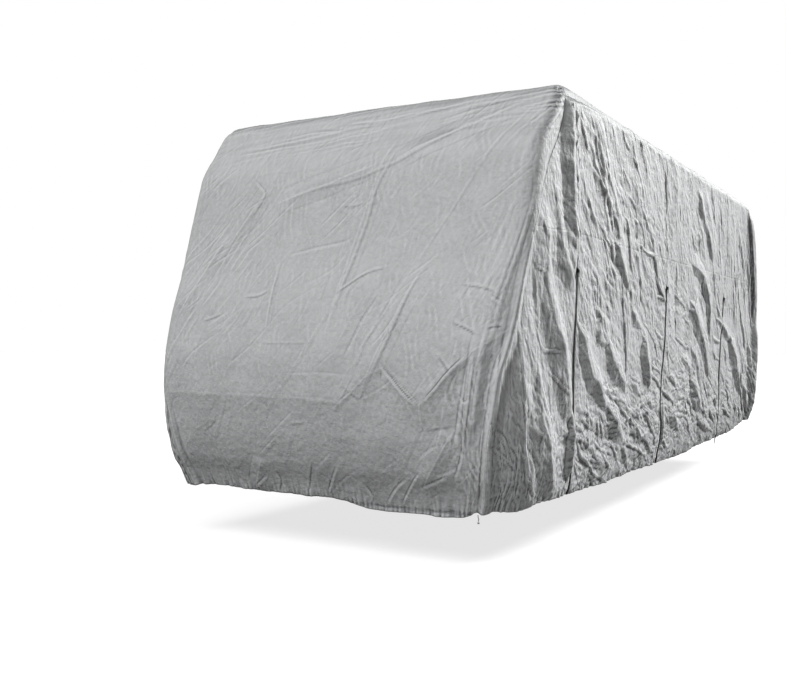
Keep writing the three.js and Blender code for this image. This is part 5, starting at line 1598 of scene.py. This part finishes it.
# Darkening toward the hem, then the depth of the painted shade strip beside the tail seam.
HEM_DARKENING, HEM_DARKENING_TOP, HEM_DARKENING_MOST, TAIL_SHADE_DARK = 0.2, -1.75, 0.5, 0.8
STRETCH, CRUMPLE_SCALE, CRUMPLE_MOST, CRUMPLE_HIGH = (1.0, 1.0, 0.45), 26.0, 0.25, 0.006
SOFT_SCALE, SOFT_ROUGH, SOFT_HIGH, DOT_SCALE, DOT_HIGH, CLOTH_BUMP = 24, 0.62, 0.011, 420.0, 0.0003, 0.8


def cloth_colour(start, spot, blotches):
    """The tone of the cloth, with painted shade in creases and painted highlight on crests, stitches, painted
    shade where it faces up, darkening toward the hem and a painted shade strip by the tail seam.
    """
    flecks = spot.noise(FLECK_SCALE, 4, FLECK_ROUGH)
    # Painted shade in the creases and painted highlight on the crests, by how sharply the cloth bends.
    bend_shade_and_highlight = (start.mask("bend") * BEND_SHARE).clamped(BEND_SHADE, BEND_HIGHLIGHT)
    stitch = start.math("COMPARE", start.mask("inset"), STITCH_INSET, STITCH_HALF) * STITCH
    face = start.node("ShaderNodeNewGeometry", output="Normal")
    up, aside = face.part("Z"), start.math("ABSOLUTE", face.part("X"))
    # Painted shade on cloth that faces up: the flat roof and the long round edges below it.
    dust_and_shade = (up - TOP_SHADE_FROM).clamped(0, TOP_SHADE_MOST) * TOP_SHADE
    dust_and_shade = dust_and_shade + (up * aside - EDGE_SHADE_FROM).clamped(0, EDGE_SHADE_MOST) * EDGE_SHADE
    # The cloth grows darker toward the hem, over its lowest part.
    hem_darkening = (HEM_DARKENING_TOP - spot.part("Z")).clamped(0, HEM_DARKENING_MOST) * HEM_DARKENING
    tone = CLOTH_TONE + (blotches - 0.5) * BLOTCH + (flecks - 0.5) * FLECK + bend_shade_and_highlight
    # The last term is the strip of painted shade beside the tail seam.
    tone = tone - stitch - dust_and_shade - hem_darkening - start.mask("painted_tail_shade") * TAIL_SHADE_DARK
    return tone.clamped(0, 1).mixed(CLOTH_DARK, CLOTH_PALE)


def cloth_relief(start, spot):
    """Height of the fine crumple, of creases that run upright, and of the pressed dots."""
    stretched = start.node("ShaderNodeVectorMath", {"operation": "MULTIPLY"}, {0: spot, 1: STRETCH})
    creases = start.node("ShaderNodeTexVoronoi", {"feature": "DISTANCE_TO_EDGE"}, {
        "Vector": stretched, "Scale": CRUMPLE_SCALE,
    }, output="Distance")
    dots = start.node("ShaderNodeTexVoronoi", {}, {"Vector": spot, "Scale": DOT_SCALE}, output="Distance")
    soft = spot.noise(SOFT_SCALE, 5, SOFT_ROUGH)
    return soft * SOFT_HIGH + creases.clamped(0, CRUMPLE_MOST) * CRUMPLE_HIGH + dots * DOT_HIGH


def cloth_finish(start):
    spot = start.node("ShaderNodeTexCoord", output="Object")
    blotches = spot.noise(BLOTCH_SCALE, 3)
    return {
        "Base Color": cloth_colour(start, spot, blotches),
        "Roughness": CLOTH_ROUGH + (blotches - 0.5) * ROUGH_CHANGE,
        "Normal": cloth_relief(start, spot).bump(CLOTH_BUMP),
        "Specular IOR Level": CLOTH_GLOSS,
    }


cover_cloth = finish("grey_non_woven", cloth_finish)
for piece, *_ in cloth_pieces:
    piece.data.materials.append(cover_cloth)
print("cloth finish on", len(cloth_pieces), "sheets")

# %% [markdown]
# ## Zip and cord finishes
# The tape is black and dusty, with a fine weave. Slider and puller are cast metal under dark enamel
# that is a little worn, and the cord is braided. All three are small, so two tones and a low bump do.

# %% Zip and cord finishes
TAPE_DARK, TAPE_PALE, TAPE_WEAVE, TAPE_DUST = (0.004, 0.004, 0.005), (0.02, 0.02, 0.021), 250.0, 0.6
METAL_DARK, METAL_PALE, METAL_SCALE, METAL = (0.012, 0.012, 0.013), (0.05, 0.05, 0.052), 300, 0.7
CORD_DARK, CORD_PALE, CORD_BRAID, BRAID_BEND = (0.22, 0.22, 0.22), (0.42, 0.42, 0.42), 330.0, 1.5
WEAVE_HIGH, WORN_HIGH, BRAID_HIGH = 0.0003, 0.0002, 0.0006


def tape_finish(start):
    spot = start.node("ShaderNodeTexCoord", output="Object")
    weave = start.node("ShaderNodeTexWave", {"bands_direction": "Z"}, {"Vector": spot, "Scale": TAPE_WEAVE})
    dust_and_shade = spot.noise(40, 4)
    return {"Base Color": (dust_and_shade * TAPE_DUST).clamped(0, 1).mixed(TAPE_DARK, TAPE_PALE),
            "Roughness": 0.55 + dust_and_shade * 0.2, "Normal": (weave * WEAVE_HIGH).bump(0.6)}


def metal_finish(start):
    worn = start.node("ShaderNodeTexCoord", output="Object").noise(METAL_SCALE, 3)
    return {"Base Color": worn.mixed(METAL_DARK, METAL_PALE), "Roughness": 0.25 + worn * 0.25,
            "Metallic": METAL, "Normal": (worn * WORN_HIGH).bump(0.4)}


def cord_finish(start):
    spot = start.node("ShaderNodeTexCoord", output="Object")
    braid = start.node("ShaderNodeTexWave", {"bands_direction": "DIAGONAL"}, {
        "Vector": spot, "Scale": CORD_BRAID, "Distortion": BRAID_BEND,
    })
    return {"Base Color": braid.mixed(CORD_DARK, CORD_PALE), "Roughness": 0.8,
            "Normal": (braid * BRAID_HIGH).bump(0.8)}


zip_tape, zip_metal = finish("black_tape", tape_finish), finish("dark_enamel", metal_finish)
for tape, *metal in zip_pieces.values():
    tape.data.materials.append(zip_tape)
    for piece in metal:
        piece.data.materials.append(zip_metal)
grey_cord = finish("grey_braid", cord_finish)
for piece in (hem_cord, hem_knot):
    piece.data.materials.append(grey_cord)
print("zip and cord finishes set")

# %% [markdown]
# ## Floor and light
# The picture is a studio one, white all round. The main light stands well behind the cover on its
# right, fairly low, so every flank of a fold that turns to the nose falls into shade. A wide soft light
# comes from high in front. The floor and the background are white as seen, but light that bounces off
# them is dimmer, which keeps the shade under the folds.

# %% Floor
FLOOR_LEVEL, FLOOR_HALF = -2.6, 60.0
PALE, BOUNCE, GLOW, FLOOR_ROUGH, FLOOR_GLOSS = 0.25, 0.2, 0.76, 0.9, 0.1
mesh = bpy.data.meshes.new("floor")
corners = [(x, y, FLOOR_LEVEL) for x, y in ((-1, -1), (1, -1), (1, 1), (-1, 1))]
mesh.from_pydata([(x * FLOOR_HALF, y * FLOOR_HALF, z) for x, y, z in corners], [], [(0, 1, 2, 3)])
floor = bpy.data.objects.new("floor", mesh)
bpy.context.scene.collection.objects.link(floor)


def floor_finish(start):
    seen_floor = start.node("ShaderNodeLightPath", output="Is Camera Ray")
    return {"Base Color": seen_floor.mixed([BOUNCE] * 3, [PALE] * 3), "Roughness": FLOOR_ROUGH,
            "Specular IOR Level": FLOOR_GLOSS, "Emission Color": seen_floor.mixed([0] * 3, [GLOW] * 3),
            "Emission Strength": 1.0}


floor.data.materials.append(finish("pale_floor", floor_finish))
print("floor at", FLOOR_LEVEL)

# %% Lights
AMBIENT, WHITE = 0.13, 1.0
world = bpy.data.worlds.new("studio")
world.use_nodes = True
bpy.context.scene.world = world
background = next(node for node in world.node_tree.nodes if node.type == "BACKGROUND")
background.inputs["Color"].default_value = (1, 1, 1, 1)
sky = Shade(world.node_tree)
seen = sky.node("ShaderNodeLightPath", output="Is Camera Ray")
world.node_tree.links.new((seen * (WHITE - AMBIENT) + AMBIENT).out, background.inputs["Strength"])

SUNS = [
    ("key", (0.36, 0.83, 0.43), 7.6, 12),
    ("front", (-0.12, -0.62, 0.775), 3.6, 40),
]
for name, direction, strength, angle in SUNS:
    light = bpy.data.lights.new(name, "SUN")
    light.energy, light.angle = strength, math.radians(angle)
    lamp = bpy.data.objects.new(name, light)
    lamp.rotation_euler = Vector(direction).to_track_quat("Z", "Y").to_euler()
    bpy.context.scene.collection.objects.link(lamp)
bpy.context.scene.view_settings.view_transform = "Standard"
print("lights:", [row[0] for row in SUNS])

# %% [markdown]
# ## Measure and finish
# The triangles of the cloth sheets are counted. The dressed model has to keep the size of the
# solids.

# %% Sizes
print("triangles:", sum(len(face.vertices) - 2 for piece, *_ in cloth_pieces for face in piece.data.polygons))
